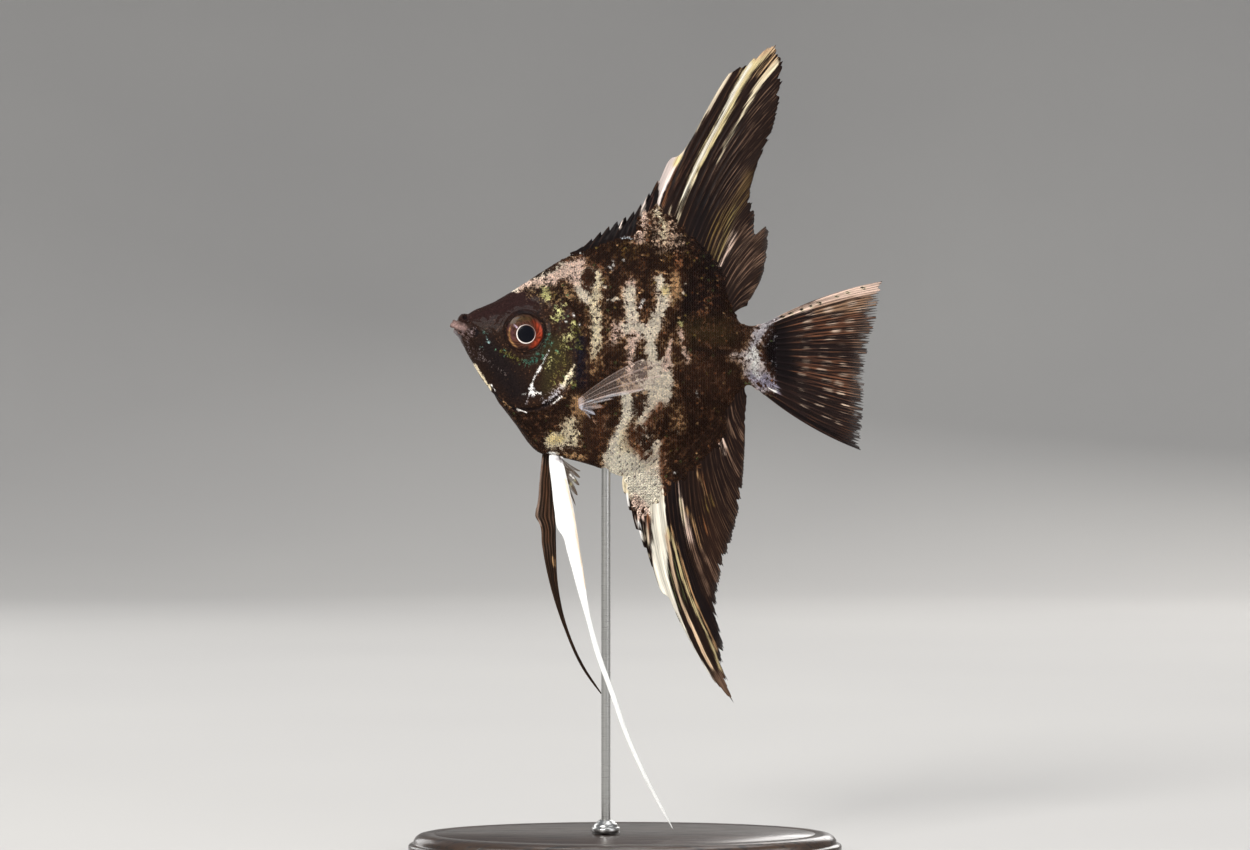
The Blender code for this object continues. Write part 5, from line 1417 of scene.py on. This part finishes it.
ANAL_MARKS = [
    # colour, strength, softness, line
    under(BROWN, 0.6, 2.0, (19, 90, 5), (21, 80, 5), (22, 68, 4)),
    under(NIGHT, 0.9, 1.6, (11.4, 94, 3), (12, 82, 1.6), (14, 72, 1.6), (18, 62, 3), (22, 54, 3)),
    over(linear(104, 78, 60), 0.24, 2.0, (22, 100, 5), (24, 88, 6), (24, 76, 5), (22, 66, 3)),
    over(TAUPE, 0.34, 0.8, (28.4, 98, 0.6), (28.2, 90, 0.8), (26.6, 79, 0.6)),
    # Speckled root, one with the belly's pale patch, and the free spines' webs
    BELLY_PATCH,
    over(CREAM, 0.82, 0.4, (-0.3, 91, 1.0), (0.1, 88.6, 1.2), (1.2, 86.4, 0.8)),
    over(PINK, 0.66, 0.7, (2.6, 86, 1.6), (4, 83.4, 3), (4.6, 80, 2.6), (5.2, 76, 1.8)),
    over(RUST, 0.3, 0.5, (2.2, 87, 1), (3, 84.6, 1)),
    over(RUST, 0.36, 0.5, (4.5, 84, 0.7), (5.6, 81.6, 0.9), (6, 78, 0.6)),
    over(WHITE, 0.85, 0.3, (0.3, 87.2, 0.6), (0.8, 85.6, 0.6), (1.0, 84.8, 0.4)),
    over(WHITE, 0.7, 0.5, (3.0, 80.6, 0.5), (3.4, 78.6, 0.9), (3.9, 76.6, 0.6)),
    over(CREAM, 0.62, 0.5, (4.9, 79, 0.4), (5.2, 76, 0.6), (5.6, 72.6, 0.4)),
    over(NIGHT, 0.0, 0.4, (1.7, 86.6, 0.2), (2.1, 84.4, 0.6), (2.6, 82.6, 0.5)),
    over(NIGHT, 0.0, 0.4, (4.1, 81, 0.2), (4.4, 77, 0.6), (4.8, 73.6, 0.8)),
    over(NIGHT, 0.0, 0.25, (6.0, 80.6, 0.3), (6.1, 76, 0.5), (6.2, 71.6, 0.4)),
    # Ivory band and the lines it parts into
    over(
        IVORY, 1.0, 0.45, (8.2, 84.4, 2.6), (8.2, 80, 3.4), (8.4, 75, 3.6), (8.6, 70, 3.4), (9.7, 65.4, 3),
        (11.2, 61.4, 2.0), (12.6, 59, 0.7), (14.4, 54.6, 0.55), (16.4, 50, 0.5), (19.4, 45.3, 0.5),
        (22.4, 40.8, 0.5),
    ),
    over(
        linear(230, 198, 164), 0.86, 0.3, (10, 77.6, 0.6), (10.9, 73, 0.8), (11.4, 69, 0.9),
        (12.6, 64.4, 0.8), (14.4, 59.1, 0.8), (16.6, 54.5, 0.8), (18.6, 49.9, 0.7), (21, 45.3, 0.6),
    ),
    over(
        linear(214, 194, 146), 0.8, 0.4, (10.4, 79, 0.6), (11.6, 75.4, 0.7), (12.7, 71.6, 0.7),
        (13.8, 67.4, 0.7), (15.2, 63.6, 0.6), (17.2, 59.1, 0.5), (19.4, 54.5, 0.45), (21.4, 49.9, 0.45),
        (23, 45, 0.3),
    ),
    over(
        TAN, 0.7, 0.3, (10.9, 80, 0.3), (13.5, 72, 0.4), (15.9, 64.4, 0.4), (18.4, 58.4, 0.4),
        (22.2, 50, 0.4),
    ),
    over(
        NIGHT, 0.0, 0.22, (10.2, 71.6, 0.2), (10.6, 68.6, 0.4), (11.6, 64.4, 0.5), (13.3, 59.6, 0.55),
        (15.4, 54.8, 0.6), (17.4, 50.2, 0.6), (20.2, 45.4, 0.5),
    ),
    over(
        NIGHT, 0.0, 0.22, (10.9, 76, 0.2), (11.8, 71.6, 0.5), (12.6, 67.4, 0.5), (14, 62.4, 0.6),
        (15.9, 58, 0.7), (18, 54, 0.7), (20, 49.6, 0.7), (22, 45.4, 0.6),
    ),
    over(MOSS, 0.34, 0.3, (10.7, 68.6, 0.3), (11.7, 64, 0.3), (13.4, 59.4, 0.3)),
    over(MOSS, 0.34, 0.3, (11.9, 71.6, 0.3), (13.2, 65.6, 0.4), (14.6, 61, 0.4)),
    over(TAUPE, 0.5, 0.7, (22.4, 43.8, 2.4), (24, 41, 2.6), (25.6, 38.2, 1.2)),
    # Speckled streak and the fine ray lines behind it
    over(PINK, 0.62, 0.4, (12.9, 90.6, 0.3), (13.1, 87.4, 0.5)),
    over(
        PINK, 0.62, 0.6, (13.3, 86.2, 0.9), (14, 83.6, 1.3), (14.6, 80.6, 1.4), (15.4, 77.6, 1.4),
        (16, 75, 0.8),
    ),
    over(CREAM, 0.56, 0.4, (13.2, 86.2, 0.4), (13.7, 83.4, 0.4), (14.2, 80, 0.3)),
    over(TAN, 0.52, 0.5, (14.8, 84, 0.6), (16.4, 80.4, 0.8), (17.6, 76.6, 0.8), (18.6, 74, 0.6)),
    over(TAUPE, 0.6, 0.5, (15.9, 75.4, 0.8), (17.4, 71.4, 1.0), (18.6, 67.6, 0.8), (20.2, 63.4, 0.7)),
    over(TAUPE, 0.52, 0.5, (18.4, 74.2, 0.7), (20.2, 70.6, 0.9), (22.2, 66.2, 0.8)),
    over(AMBER, 0.46, 0.6, (17.7, 93.4, 0.4), (18.6, 90.6, 0.6), (20.2, 87, 0.7), (21.2, 84.6, 0.4)),
    over(TAN, 0.48, 0.4, (16.6, 94, 0.4), (18.2, 90.4, 0.5), (19.4, 87.2, 0.5)),
    over(MUSTARD, 0.42, 0.7, (18.9, 86, 0.7), (19.7, 83.6, 0.7)),
    over(MUSTARD, 0.42, 0.7, (20.3, 87, 0.6), (21, 84.8, 0.6)),
    over(AMBER, 0.44, 0.7, (18.2, 82, 0.6), (19.2, 79.6, 0.7), (19.7, 78, 0.4)),
    over(PINK, 0.56, 0.4, (21.9, 102, 0.3), (22.8, 99.4, 0.5), (23.9, 97, 0.4)),
    over(PINK, 0.6, 0.4, (22.8, 102, 0.4), (23.7, 99.8, 0.7), (24.7, 97.8, 0.4)),
    over(TAUPE, 0.6, 0.6, (24.8, 98, 0.8), (25.8, 95, 0.8), (27.4, 92, 0.6)),
    over(TAUPE, 0.56, 0.6, (24, 106.4, 0.6), (25.4, 103, 0.8), (26.2, 101, 0.6)),
    over(TAUPE, 0.5, 0.8, (25.6, 108, 0.8), (27.2, 104, 0.8), (28.4, 100.6, 0.6)),
    # the belly's painted highlight
    PAINTED_BELLY_GLINT,
]


def anal_clear(number, t):
    """The web is clearest along the frayed rear rim and at the long point."""
    rear_rim = 0.28 * step(t, 0.86, 1.0) * step(number, 8.0, 11.0)
    return rear_rim + 0.3 * step(t, 0.93, 1.0) * step(number, 6.4, 7.0)


anal = median_fin(
    "anal_blade", ANAL_RAYS, ANAL_MARKS, BELLY_LINE, away=-1, spines=ANAL_SPINES, free=6, comb=1.4,
    sag=(1.0, 0.0, 0.0), bow=-0.07, stiff=1.0, sway=-1.4, thick=0.9, tear=0.045, seed=8,
    clearness=anal_clear,
)
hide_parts("anal_fin")

# Tail fin: a fan of forked rays with a torn rear edge. Pale spots cross the web in rows, and the upper
# edge is tan with dark spots.
TAIL_COLUMNS = 16
TAIL_ROOT_X = 33.9
TEETH_PER_RAY = 4
TAIL_RAYS = [
    # ray number, root's z, tip's x and z
    (1, 128.6, 61.9, 138.6), (3, 127.1, 61.5, 134.0), (5, 125.3, 60.8, 129.0), (7, 123.2, 59.2, 124.2),
    (9, 120.8, 58.2, 119.2), (11, 118.2, 57.9, 114.0), (13, 115.6, 57.8, 108.6), (15, 113.2, 57.3, 103.2),
    (17, 110.9, 56.7, 97.9),
]
TAIL_GROUND = linear(40, 29, 27)
PALE_SPOT = linear(214, 188, 166)
CHESTNUT = linear(122, 80, 58)
TAIL_MARKS = [
    # colour, strength, softness, line
    over(CHESTNUT, 0.42, 2.0, (44, 127, 6), (52, 129, 8), (58, 128, 6)),
    over(CHESTNUT, 0.4, 2.0, (44, 118, 6), (50, 116, 8), (56, 114, 8)),
    over(TAUPE, 0.32, 1.4, (57, 128, 3), (56, 118, 3), (55.6, 108, 3)),
    over(
        PINK, 0.8, 0.5, (34.6, 128.9, 1.4), (38, 130.2, 1.2), (41, 131.2, 1.4), (48, 133.7, 2.2),
        (55, 135.8, 2.8), (61.4, 137.2, 3),
    ),
    over(linear(160, 126, 100), 0.52, 0.9, (46, 131.2, 2), (54, 132.8, 3), (60, 133.6, 3.4)),
    over(SLATE, 0.8, 0.7, (33.8, 128.4, 1.4), (36.4, 129.6, 0.8)),
    over(MAUVE, 0.7, 0.8, (33.6, 114.6, 3.4), (35.4, 113.4, 2.2), (37, 112, 0.8)),
    over(WHITE, 0.66, 0.5, (33.6, 113.4, 1.2), (35.8, 112.2, 0.8)),
    under(NIGHT, 0.95, 1.6, (37, 126, 5), (36.6, 121, 7), (38.6, 116.6, 5)),
    over(NIGHT, 0.06, 1.4, (36.6, 125.6, 3), (36.2, 121, 5), (37.6, 117.4, 3)),
    under(NIGHT, 0.9, 0.5, (36, 109.8, 0.6), (46, 104, 0.8), (56, 98.6, 0.8)),
]
spot_chance = np.random.default_rng(14)
for spot_ray in range(2, 16):
    root_z, end_x, end_z = (float(value) for value in curves(TAIL_RAYS, spot_ray + 0.5))
    slope = (end_z - root_z) / (end_x - TAIL_ROOT_X)
    for spot_share, spot_size in ((0.34, 1.2), (0.56, 1.4), (0.74, 1.0)):
        shaken_share, bold = spot_share + spot_chance.normal(0.0, 0.03), spot_chance.uniform(0.12, 0.62)
        spot_x = TAIL_ROOT_X + shaken_share * (end_x - TAIL_ROOT_X)
        spot_z = root_z + shaken_share * (end_z - root_z)
        spot_end = (spot_x + spot_size, spot_z + slope * spot_size, 0.4)
        TAIL_MARKS.append(over(PALE_SPOT, bold, 0.5, (spot_x, spot_z, 0.5), spot_end))
UPPER_EDGE = [(35, 129.2), (41, 131.2), (48, 133.9), (55, 136.4), (61.4, 138.2)]
for spot_x in (37.4, 39.6, 42.2, 44.4, 46.4, 50.5, 53.2, 56.9):
    spot_z = smooth(UPPER_EDGE, spot_x)
    spot_line = [(spot_x, spot_z + 0.1, 0.4), (spot_x + 0.5, spot_z - 0.1, 0.5)]
    TAIL_MARKS.append(over(CREAM, 0.05, 0.2, *spot_line))


def tail():
    """The tail's fan: outer rays bow outward, and every web is torn back by its own depth.

    Each ray's width of margin is cut into four teeth, straight-sided, with a random depth each.
    """
    last = TAIL_RAYS[-1][0]
    number = np.linspace(1, last, (last - 1) * TAIL_COLUMNS + 1)
    root_z, tip_x, tip_z = curves(TAIL_RAYS, number)
    roots, tips = in_plane(np.full_like(root_z, TAIL_ROOT_X), root_z), in_plane(tip_x, tip_z)
    tooth_number = number * TEETH_PER_RAY
    rng = np.random.default_rng(21)
    depths = np.abs(rng.normal(0.045, 0.04, TEETH_PER_RAY * last + 2))
    torn = depths[np.floor(tooth_number).astype(int)]
    notch = 0.01 + torn * (1 - np.abs(tooth_number % 1.0 - 0.5) * 2) + 0.015 * off_ray(number)
    notch *= step(number, 1.0, 1.6) * (1 - step(number, last - 0.4, last))
    bow = 0.04 * (9 - number) / 8
    middle, t, length = ray_fan(number, roots, tips, bow[:, None], 1.8, 1.0, notch, start=2.6)
    ray = ray_ridges(number[:, None], t, 1.0)
    slim = slimmer(t)
    half = WEB_HALF + 0.5 * slim**3 + (0.06 + RAY_SWELL * slim) * ray
    clear = (0.06 + 0.55 * step(t, 0.78, 1.0)) * (1 - 0.9 * ray) * step(t, 0.15, 0.4)
    worn = step(grain(middle[..., 0], middle[..., 2], 1.5), 0.1, 0.5) * step(t, 0.82, 0.93)
    clear = np.maximum(clear, 0.9 * worn * (1 - 0.6 * ray))
    return fin_piece(
        "tail_fan", middle, half, number, t, length, TAIL_MARKS, TAIL_GROUND, ray, clear, fin_finish
    )


tail_piece = tail()
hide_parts("tail_fin")

# Pectoral fins: clear fans of twelve fine rays, rooted in a fleshy lump behind each gill cover. Only the
# rays and the bluish lower edge show against the body.
PECTORAL_RAYS = [
    # ray number, root's x and z, tip's x and z
    (1, -10.6, 110.6, 4.5, 119.8), (3, -10.5, 110.0, 8.4, 118.7), (5, -10.4, 109.5, 8.9, 115.6),
    (7, -10.3, 109.0, 4.6, 112.4), (9, -10.2, 108.4, -2.6, 110.2), (11, -10.2, 107.8, -7.0, 106.4),
    (12, -10.2, 107.5, -8.2, 105.4),
]
PECTORAL_SPREAD = 0.24
PECTORAL_GROUND = linear(206, 184, 174)
PECTORAL_MARKS = [
    under(
        linear(214, 214, 220), 0.9, 0.4, (-10, 109.9, 0.6), (-6.7, 109.5, 0.7), (-2.7, 111, 0.7),
        (1.2, 111.4, 0.5), (4.3, 112.2, 0.4),
    ),
    under(linear(196, 200, 214), 0.9, 0.8, (-10, 108.2, 1.6), (-7.4, 106.4, 1.6)),
]
clear_finish = web_material("clear fin web", 0.3, 1.0, 1.0, 0.2)
for side, word in ((LEFT, "left"), (RIGHT, "right")):
    number = fin_columns(1, PECTORAL_RAYS[-1][0])
    root_x, root_z, tip_x, tip_z = curves(PECTORAL_RAYS, number)
    root_y = side * (flank(root_x, root_z, 0.0) + 0.45)
    roots = in_plane(root_x, root_z, root_y)
    tips = in_plane(tip_x, tip_z, root_y + side * PECTORAL_SPREAD * (tip_x - root_x))
    off = off_ray(number)
    notch = 0.01 + 0.03 * off**2 + 0.01 * (1 - np.cos(np.pi * off * 4))
    notch += 0.4 * off * step(number, 8.0, 9.0)
    middle, t, length = ray_fan(number, roots, tips, 0.04, side * 1.2, 0.4, notch, start=0.8)
    ray = hump((number - np.round(number))[:, None], 0.16) * (1 - 0.35 * step(t, 0.5, 1.0))
    slim = slimmer(t)
    half = 0.03 + 0.06 * slim**2 + (0.02 + 0.05 * slim) * ray
    every_other = 0.08 + 0.34 * (np.round(number) % 2)
    bold = (every_other + 0.3 * hump(number - 7.2, 1.0) + 0.2 * step(number, 8.0, 10.0))[:, None]
    lower = (0.34 * hump(number - 7.3, 0.5) + 0.06 * step(number, 8.5, 10.0))[:, None]
    veil = 0.03 + 0.04 * step(t, 0.3, 0.9) + lower * (1 - 0.4 * step(t, 0.6, 1.0)) + 0.7 * bold * ray
    clear = np.clip(1 - veil - 0.6 * (1 - step(t, -0.02, 0.05)), 0.0, 1.0)
    pectoral = fin_piece(
        f"pectoral_fin_{word}", middle, half * side, number, t, length, PECTORAL_MARKS, PECTORAL_GROUND,
        ray, clear, clear_finish, glitter=0.0, lined=0.0, normal=(-0.25, side * 0.97, 0.0),
    )
    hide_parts(f"pectoral_{word}")

# Pelvic fins: narrow blades under the breast that end in long threads. The near one is white. The far one
# is dark brown. Each has a spine in front and soft rays behind it.
PELVIC_ROWS = 150
PELVIC_COLUMNS = 25
PELVIC_THREADS = 5
WHITE_GROUND = linear(232, 226, 220)
DARK_GROUND = linear(38, 28, 22)
PELVIC_LEFT = [
    # height, front edge's x, rear edge's x, distance from the middle plane
    (97.6, -18.1, -14.9, 0.3), (96.0, -18.2, -14.8, 0.8), (90.0, -17.6, -13.6, 1.9),
    (83.0, -16.8, -12.1, 3.0), (79.2, -16.1, -11.5, 3.5), (77.4, -14.9, -11.2, 3.7),
    (74.0, -13.9, -10.7, 4.1), (70.0, -12.8, -10.0, 4.6), (64.2, -11.2, -9.2, 5.2),
    (57.0, -9.1, -7.9, 5.8), (50.0, -7.2, -5.9, 6.4), (40.0, -3.6, -2.4, 7.1), (30.0, 0.0, 1.05, 7.6),
    (20.0, 4.6, 5.5, 8.0), (8.0, 11.1, 11.7, 8.3),
]
PELVIC_RIGHT = [
    (97.6, -19.8, -16.6, 1.0), (96.0, -20.0, -16.6, 1.2), (90.0, -20.6, -17.0, 1.8),
    (85.0, -21.1, -16.9, 2.4), (83.4, -21.5, -16.9, 2.6), (82.0, -21.6, -16.8, 2.8),
    (80.4, -20.7, -16.7, 3.0), (75.0, -20.0, -16.6, 3.6), (65.0, -18.0, -16.1, 4.8),
    (55.0, -14.8, -13.9, 5.8), (45.0, -10.3, -9.5, 6.6), (37.5, -5.0, -4.4, 7.0),
]
PELVIC_LEFT_MARKS = [
    over(linear(252, 252, 250), 1.0, 3.0, (-16, 97, 8), (-12, 75, 8), (-6, 50, 6), (11, 8, 6)),
    over(
        linear(244, 224, 200), 0.9, 0.25, (-14.3, 91, 0.2), (-12.2, 82, 0.35), (-10.9, 74, 0.3),
        (-9.3, 65, 0.2),
    ),
    over(SLATE, 0.7, 0.5, (-16, 96, 0.6), (-14.8, 95.4, 0.8)),
]
PELVIC_RIGHT_MARKS = [
    over(linear(128, 108, 92), 0.46, 0.8, (-19.9, 95, 0.8), (-20.5, 88, 1.1), (-21.2, 82.6, 1.1)),
    over(linear(96, 74, 60), 0.4, 1.4, (-18.4, 94, 2), (-18.8, 84, 3), (-18.4, 74, 2.4)),
    over(
        linear(150, 126, 112), 0.5, 0.3, (-19.8, 96, 0.3), (-20.6, 90, 0.3), (-21, 84, 0.4),
        (-20.4, 80, 0.2),
    ),
    over(TAN, 0.6, 0.4, (-17.5, 72, 0.5), (-17.1, 70, 0.5)),
    over(UMBER, 0.55, 0.6, (-19.2, 94, 0.8), (-19, 86, 0.8), (-18.6, 76, 0.6)),
]


def pelvic_blade(name, rows, side, marks, ground, glitter, material):
    """A blade between a front and a rear edge, ridged lengthwise by a spine and soft rays.

    At each height it is as wide as the two edges are apart, less toward the point, and cupped: its
    distance from the middle plane grows with the square of the distance from its own middle.
    """
    rows = rows[::-1]
    low, high = rows[0][0], rows[-1][0]
    z = low + (high - low) * np.linspace(0.0, 1.0, PELVIC_ROWS)
    front, rear, out = curves(rows, z)
    share = np.linspace(0.0, 1.0, PELVIC_COLUMNS)
    point = step(z, low - 0.5, low + 5.0)
    centre, breadth = (front + rear) / 2, (rear - front) * (0.35 + 0.65 * point)
    x = centre[:, None] + breadth[:, None] * (share - 0.5)
    x = x + 0.05 * np.sin(z * 1.3)[:, None] * np.sin(share * np.pi)
    cup = 0.10 * breadth[:, None] * (share - 0.5) ** 2
    y = side * (out[:, None] + cup)
    height = np.repeat(z[:, None], PELVIC_COLUMNS, axis=1)
    ray = hump((share * PELVIC_THREADS) % 1.0 - 0.5, 0.24)
    spine = hump(share - 0.06, 0.07)
    ridge = np.clip(ray + spine, 0.0, 1.0)[None, :] * np.ones_like(x)
    edge = np.sqrt(np.clip(1 - (2 * share - 1) ** 2, 0.0, 1.0))
    fine = 0.35 + 0.65 * np.clip(breadth / 2.5, 0, 1)
    half = (0.05 + 0.22 * edge + 0.09 * ridge) * fine[:, None]
    middle = np.stack([x, y, height], axis=2)
    number = 1 + share * PELVIC_THREADS
    t = np.broadcast_to(((high - z) / (high - low))[None, :], (PELVIC_COLUMNS, PELVIC_ROWS))
    length = np.full(PELVIC_COLUMNS, high - low)
    return fin_piece(
        name, middle.transpose(1, 0, 2), half.T, number, t, length, marks, ground, ridge.T, 0.0, material,
        glitter,
    )


white_finish = web_material("white pelvic fin", 0.4, 1.0, 0.96, 0.15)
pelvic_left = pelvic_blade(
    "pelvic_blade_left", PELVIC_LEFT, LEFT, PELVIC_LEFT_MARKS, WHITE_GROUND, 0.9, white_finish
)
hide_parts("pelvic_left")
pelvic_right = pelvic_blade(
    "pelvic_blade_right", PELVIC_RIGHT, RIGHT, PELVIC_RIGHT_MARKS, DARK_GROUND, 0.2, fin_finish
)
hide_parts("pelvic_right")

# Inner pelvic rays: a small clear fan of short rays behind each blade's root, joined by a thin web that is
# torn back deeply between them.
INNER_RAYS = [
    # ray number, root's x and z, tip's x and z
    (1, -15.4, 95.9, -10.6, 93.0), (3, -15.6, 95.7, -10.9, 89.6), (5, -15.8, 95.4, -11.8, 84.6),
]
INNER_GROUND = linear(88, 74, 62)
INNER_HUE = linear(168, 160, 120)
for side, word, shift in ((LEFT, "left", 0.0), (RIGHT, "right", -2.0)):
    number = fin_columns(1, INNER_RAYS[-1][0])
    root_x, root_z, tip_x, tip_z = curves(INNER_RAYS, number)
    roots = in_plane(root_x + shift, root_z + 0.3, side * 1.1)
    tips = in_plane(tip_x + shift, tip_z, side * 1.9)
    notch = 0.3 * off_ray(number) ** 1.5
    middle, t, length = ray_fan(number, roots, tips, -0.03, side * 0.3, 0.2, notch, start=0.8)
    ray = ray_ridges(number[:, None], t, 0.0)
    half = side * (0.03 + (0.05 + 0.1 * slimmer(t)) * ray)
    marks = [
        under(INNER_HUE, 0.9, 0.3, (-13.4 + shift, 89.4, 0.7), (-11.9 + shift, 90.8, 0.4)),
        under(WHITE, 1.0, 0.2, (-13.1 + shift, 92.0, 0.5), (-12.9 + shift, 91.8, 0.4)),
        under(WHITE, 1.0, 0.2, (-12.4 + shift, 91.4, 0.5), (-12.2 + shift, 91.2, 0.3)),
    ]
    inner = fin_piece(
        f"pelvic_inner_{word}", middle, half, number, t, length, marks, INNER_GROUND, ray,
        np.clip(0.6 - 0.5 * ray, 0, 1), clear_finish, glitter=0.0, lined=0.0,
    )

# Display stand: an oval base of dark stained wood with a moulded, waxed edge, and a brushed steel rod that
# rises from a turned collar into the belly.
BASE_HALF = (52.0, 27.0)
BASE_PROFILE = [
    # distance in from the edge, height
    (1.2, 0.0), (0.25, 0.25), (0.0, 0.8), (0.0, 3.0), (0.15, 3.35), (0.55, 3.6), (1.1, 3.7), (1.2, 3.9),
    (1.3, 4.5), (1.8, 5.2), (2.6, 5.75), (3.6, 5.98), (6.0, 6.0), (6.25, 5.86), (6.5, 6.0), (26.0, 6.0),
]
ROD_X = -4.6
ROD_FOOT = 6.0
ROD_RADIUS = 1.1
ROD_LENGTH = 90.4
COLLAR_FOOT = 6.3
COLLAR_PROFILE = [
    # radius, height
    (3.4, 0.0), (3.4, 1.0), (3.25, 1.25), (2.95, 1.35), (2.9, 1.7), (2.7, 2.05), (2.2, 2.35), (1.8, 2.75),
    (1.5, 2.95), (1.3, 3.0),
]
WALNUT = (0.016, 0.009, 0.006, 1.0)
WALNUT_BAND = (0.060, 0.034, 0.021, 1.0)
WALNUT_PORE = (0.008, 0.005, 0.004, 1.0)
STEEL = (0.40, 0.40, 0.39, 1.0)
STEEL_LINE = (0.45, 0.45, 0.44, 1.0)


def turned_rings(profile, x=0.0, foot=0.0, longer=0.0, around=64):
    """Rings about an upright axis, one for each (radius, height), with more radius along X by a length."""
    turn = full_turn(around)
    radius, height = np.array(profile).T[..., None]
    ring = [x + (radius + longer) * np.cos(turn), radius * np.sin(turn), foot + height + 0 * turn]
    return np.stack(ring, axis=2)


def wood_material():
    """Dark stained walnut under satin lacquer: long wavering grain, fine pores and slight wear of tone."""
    material, tree, shader = new_material("stained walnut", coat_weight=0.5, coat_roughness=0.16)
    place = object_place(tree)
    along_grain = noise(tree, drawn_out(tree, place, (12.0, 160.0, 160.0)), 1.0, 5.0)
    pitted = noise(tree, drawn_out(tree, place, (90.0, 1500.0, 1500.0)), 1.0, 2.0)
    pores = between(tree, pitted, 0.52, 0.66)
    tone = blended(tree, between(tree, along_grain, 0.3, 0.7), WALNUT, WALNUT_BAND)
    tone = blended(tree, pores, tone, WALNUT_PORE)
    tree.links.new(tone, shader.inputs["Base Color"])
    tree.links.new(between(tree, pores, 0.0, 1.0, 0.32, 0.5), shader.inputs["Roughness"])
    bump(tree, shader, pores, -0.00005, 0.4)
    return material


def steel_material():
    """Brushed stainless steel: fine rings of brushing round the rod."""
    material, tree, shader = new_material("brushed steel", metallic=1.0)
    brushed = drawn_out(tree, object_place(tree), (200.0, 200.0, 5200.0))
    lines = between(tree, noise(tree, brushed, 1.0, 3.0), 0.3, 0.7)
    tree.links.new(blended(tree, lines, STEEL, STEEL_LINE), shader.inputs["Base Color"])
    tree.links.new(between(tree, lines, 0.0, 1.0, 0.26, 0.34), shader.inputs["Roughness"])
    bump(tree, shader, lines, 0.000004, 0.3)
    return material


steel = steel_material()
base_radii = [(BASE_HALF[1] - inward, height) for inward, height in BASE_PROFILE]
base_points, base_faces = tube(turned_rings(base_radii, longer=BASE_HALF[0] - BASE_HALF[1], around=192))
base = new_mesh("stand_oval_base", base_points * MM, base_faces, wood_material())
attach(base, "root")
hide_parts("stand_base")
rod_profile = [(ROD_RADIUS, height) for height in np.linspace(0.1, ROD_LENGTH, 40)]
rod_profile = [(1.0, 0.0)] + rod_profile + [(0.9, ROD_LENGTH + 0.2)]
rod_points, rod_faces = tube(turned_rings(rod_profile, ROD_X, ROD_FOOT))
rod = new_mesh("stand_upright", rod_points * MM, rod_faces, steel)
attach(rod, "root")
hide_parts("stand_rod")
collar_points, collar_faces = tube(turned_rings(COLLAR_PROFILE, ROD_X, COLLAR_FOOT))
collar = new_mesh("stand_foot_collar", collar_points * MM, collar_faces, steel)
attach(collar, "root")
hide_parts("stand_collar")
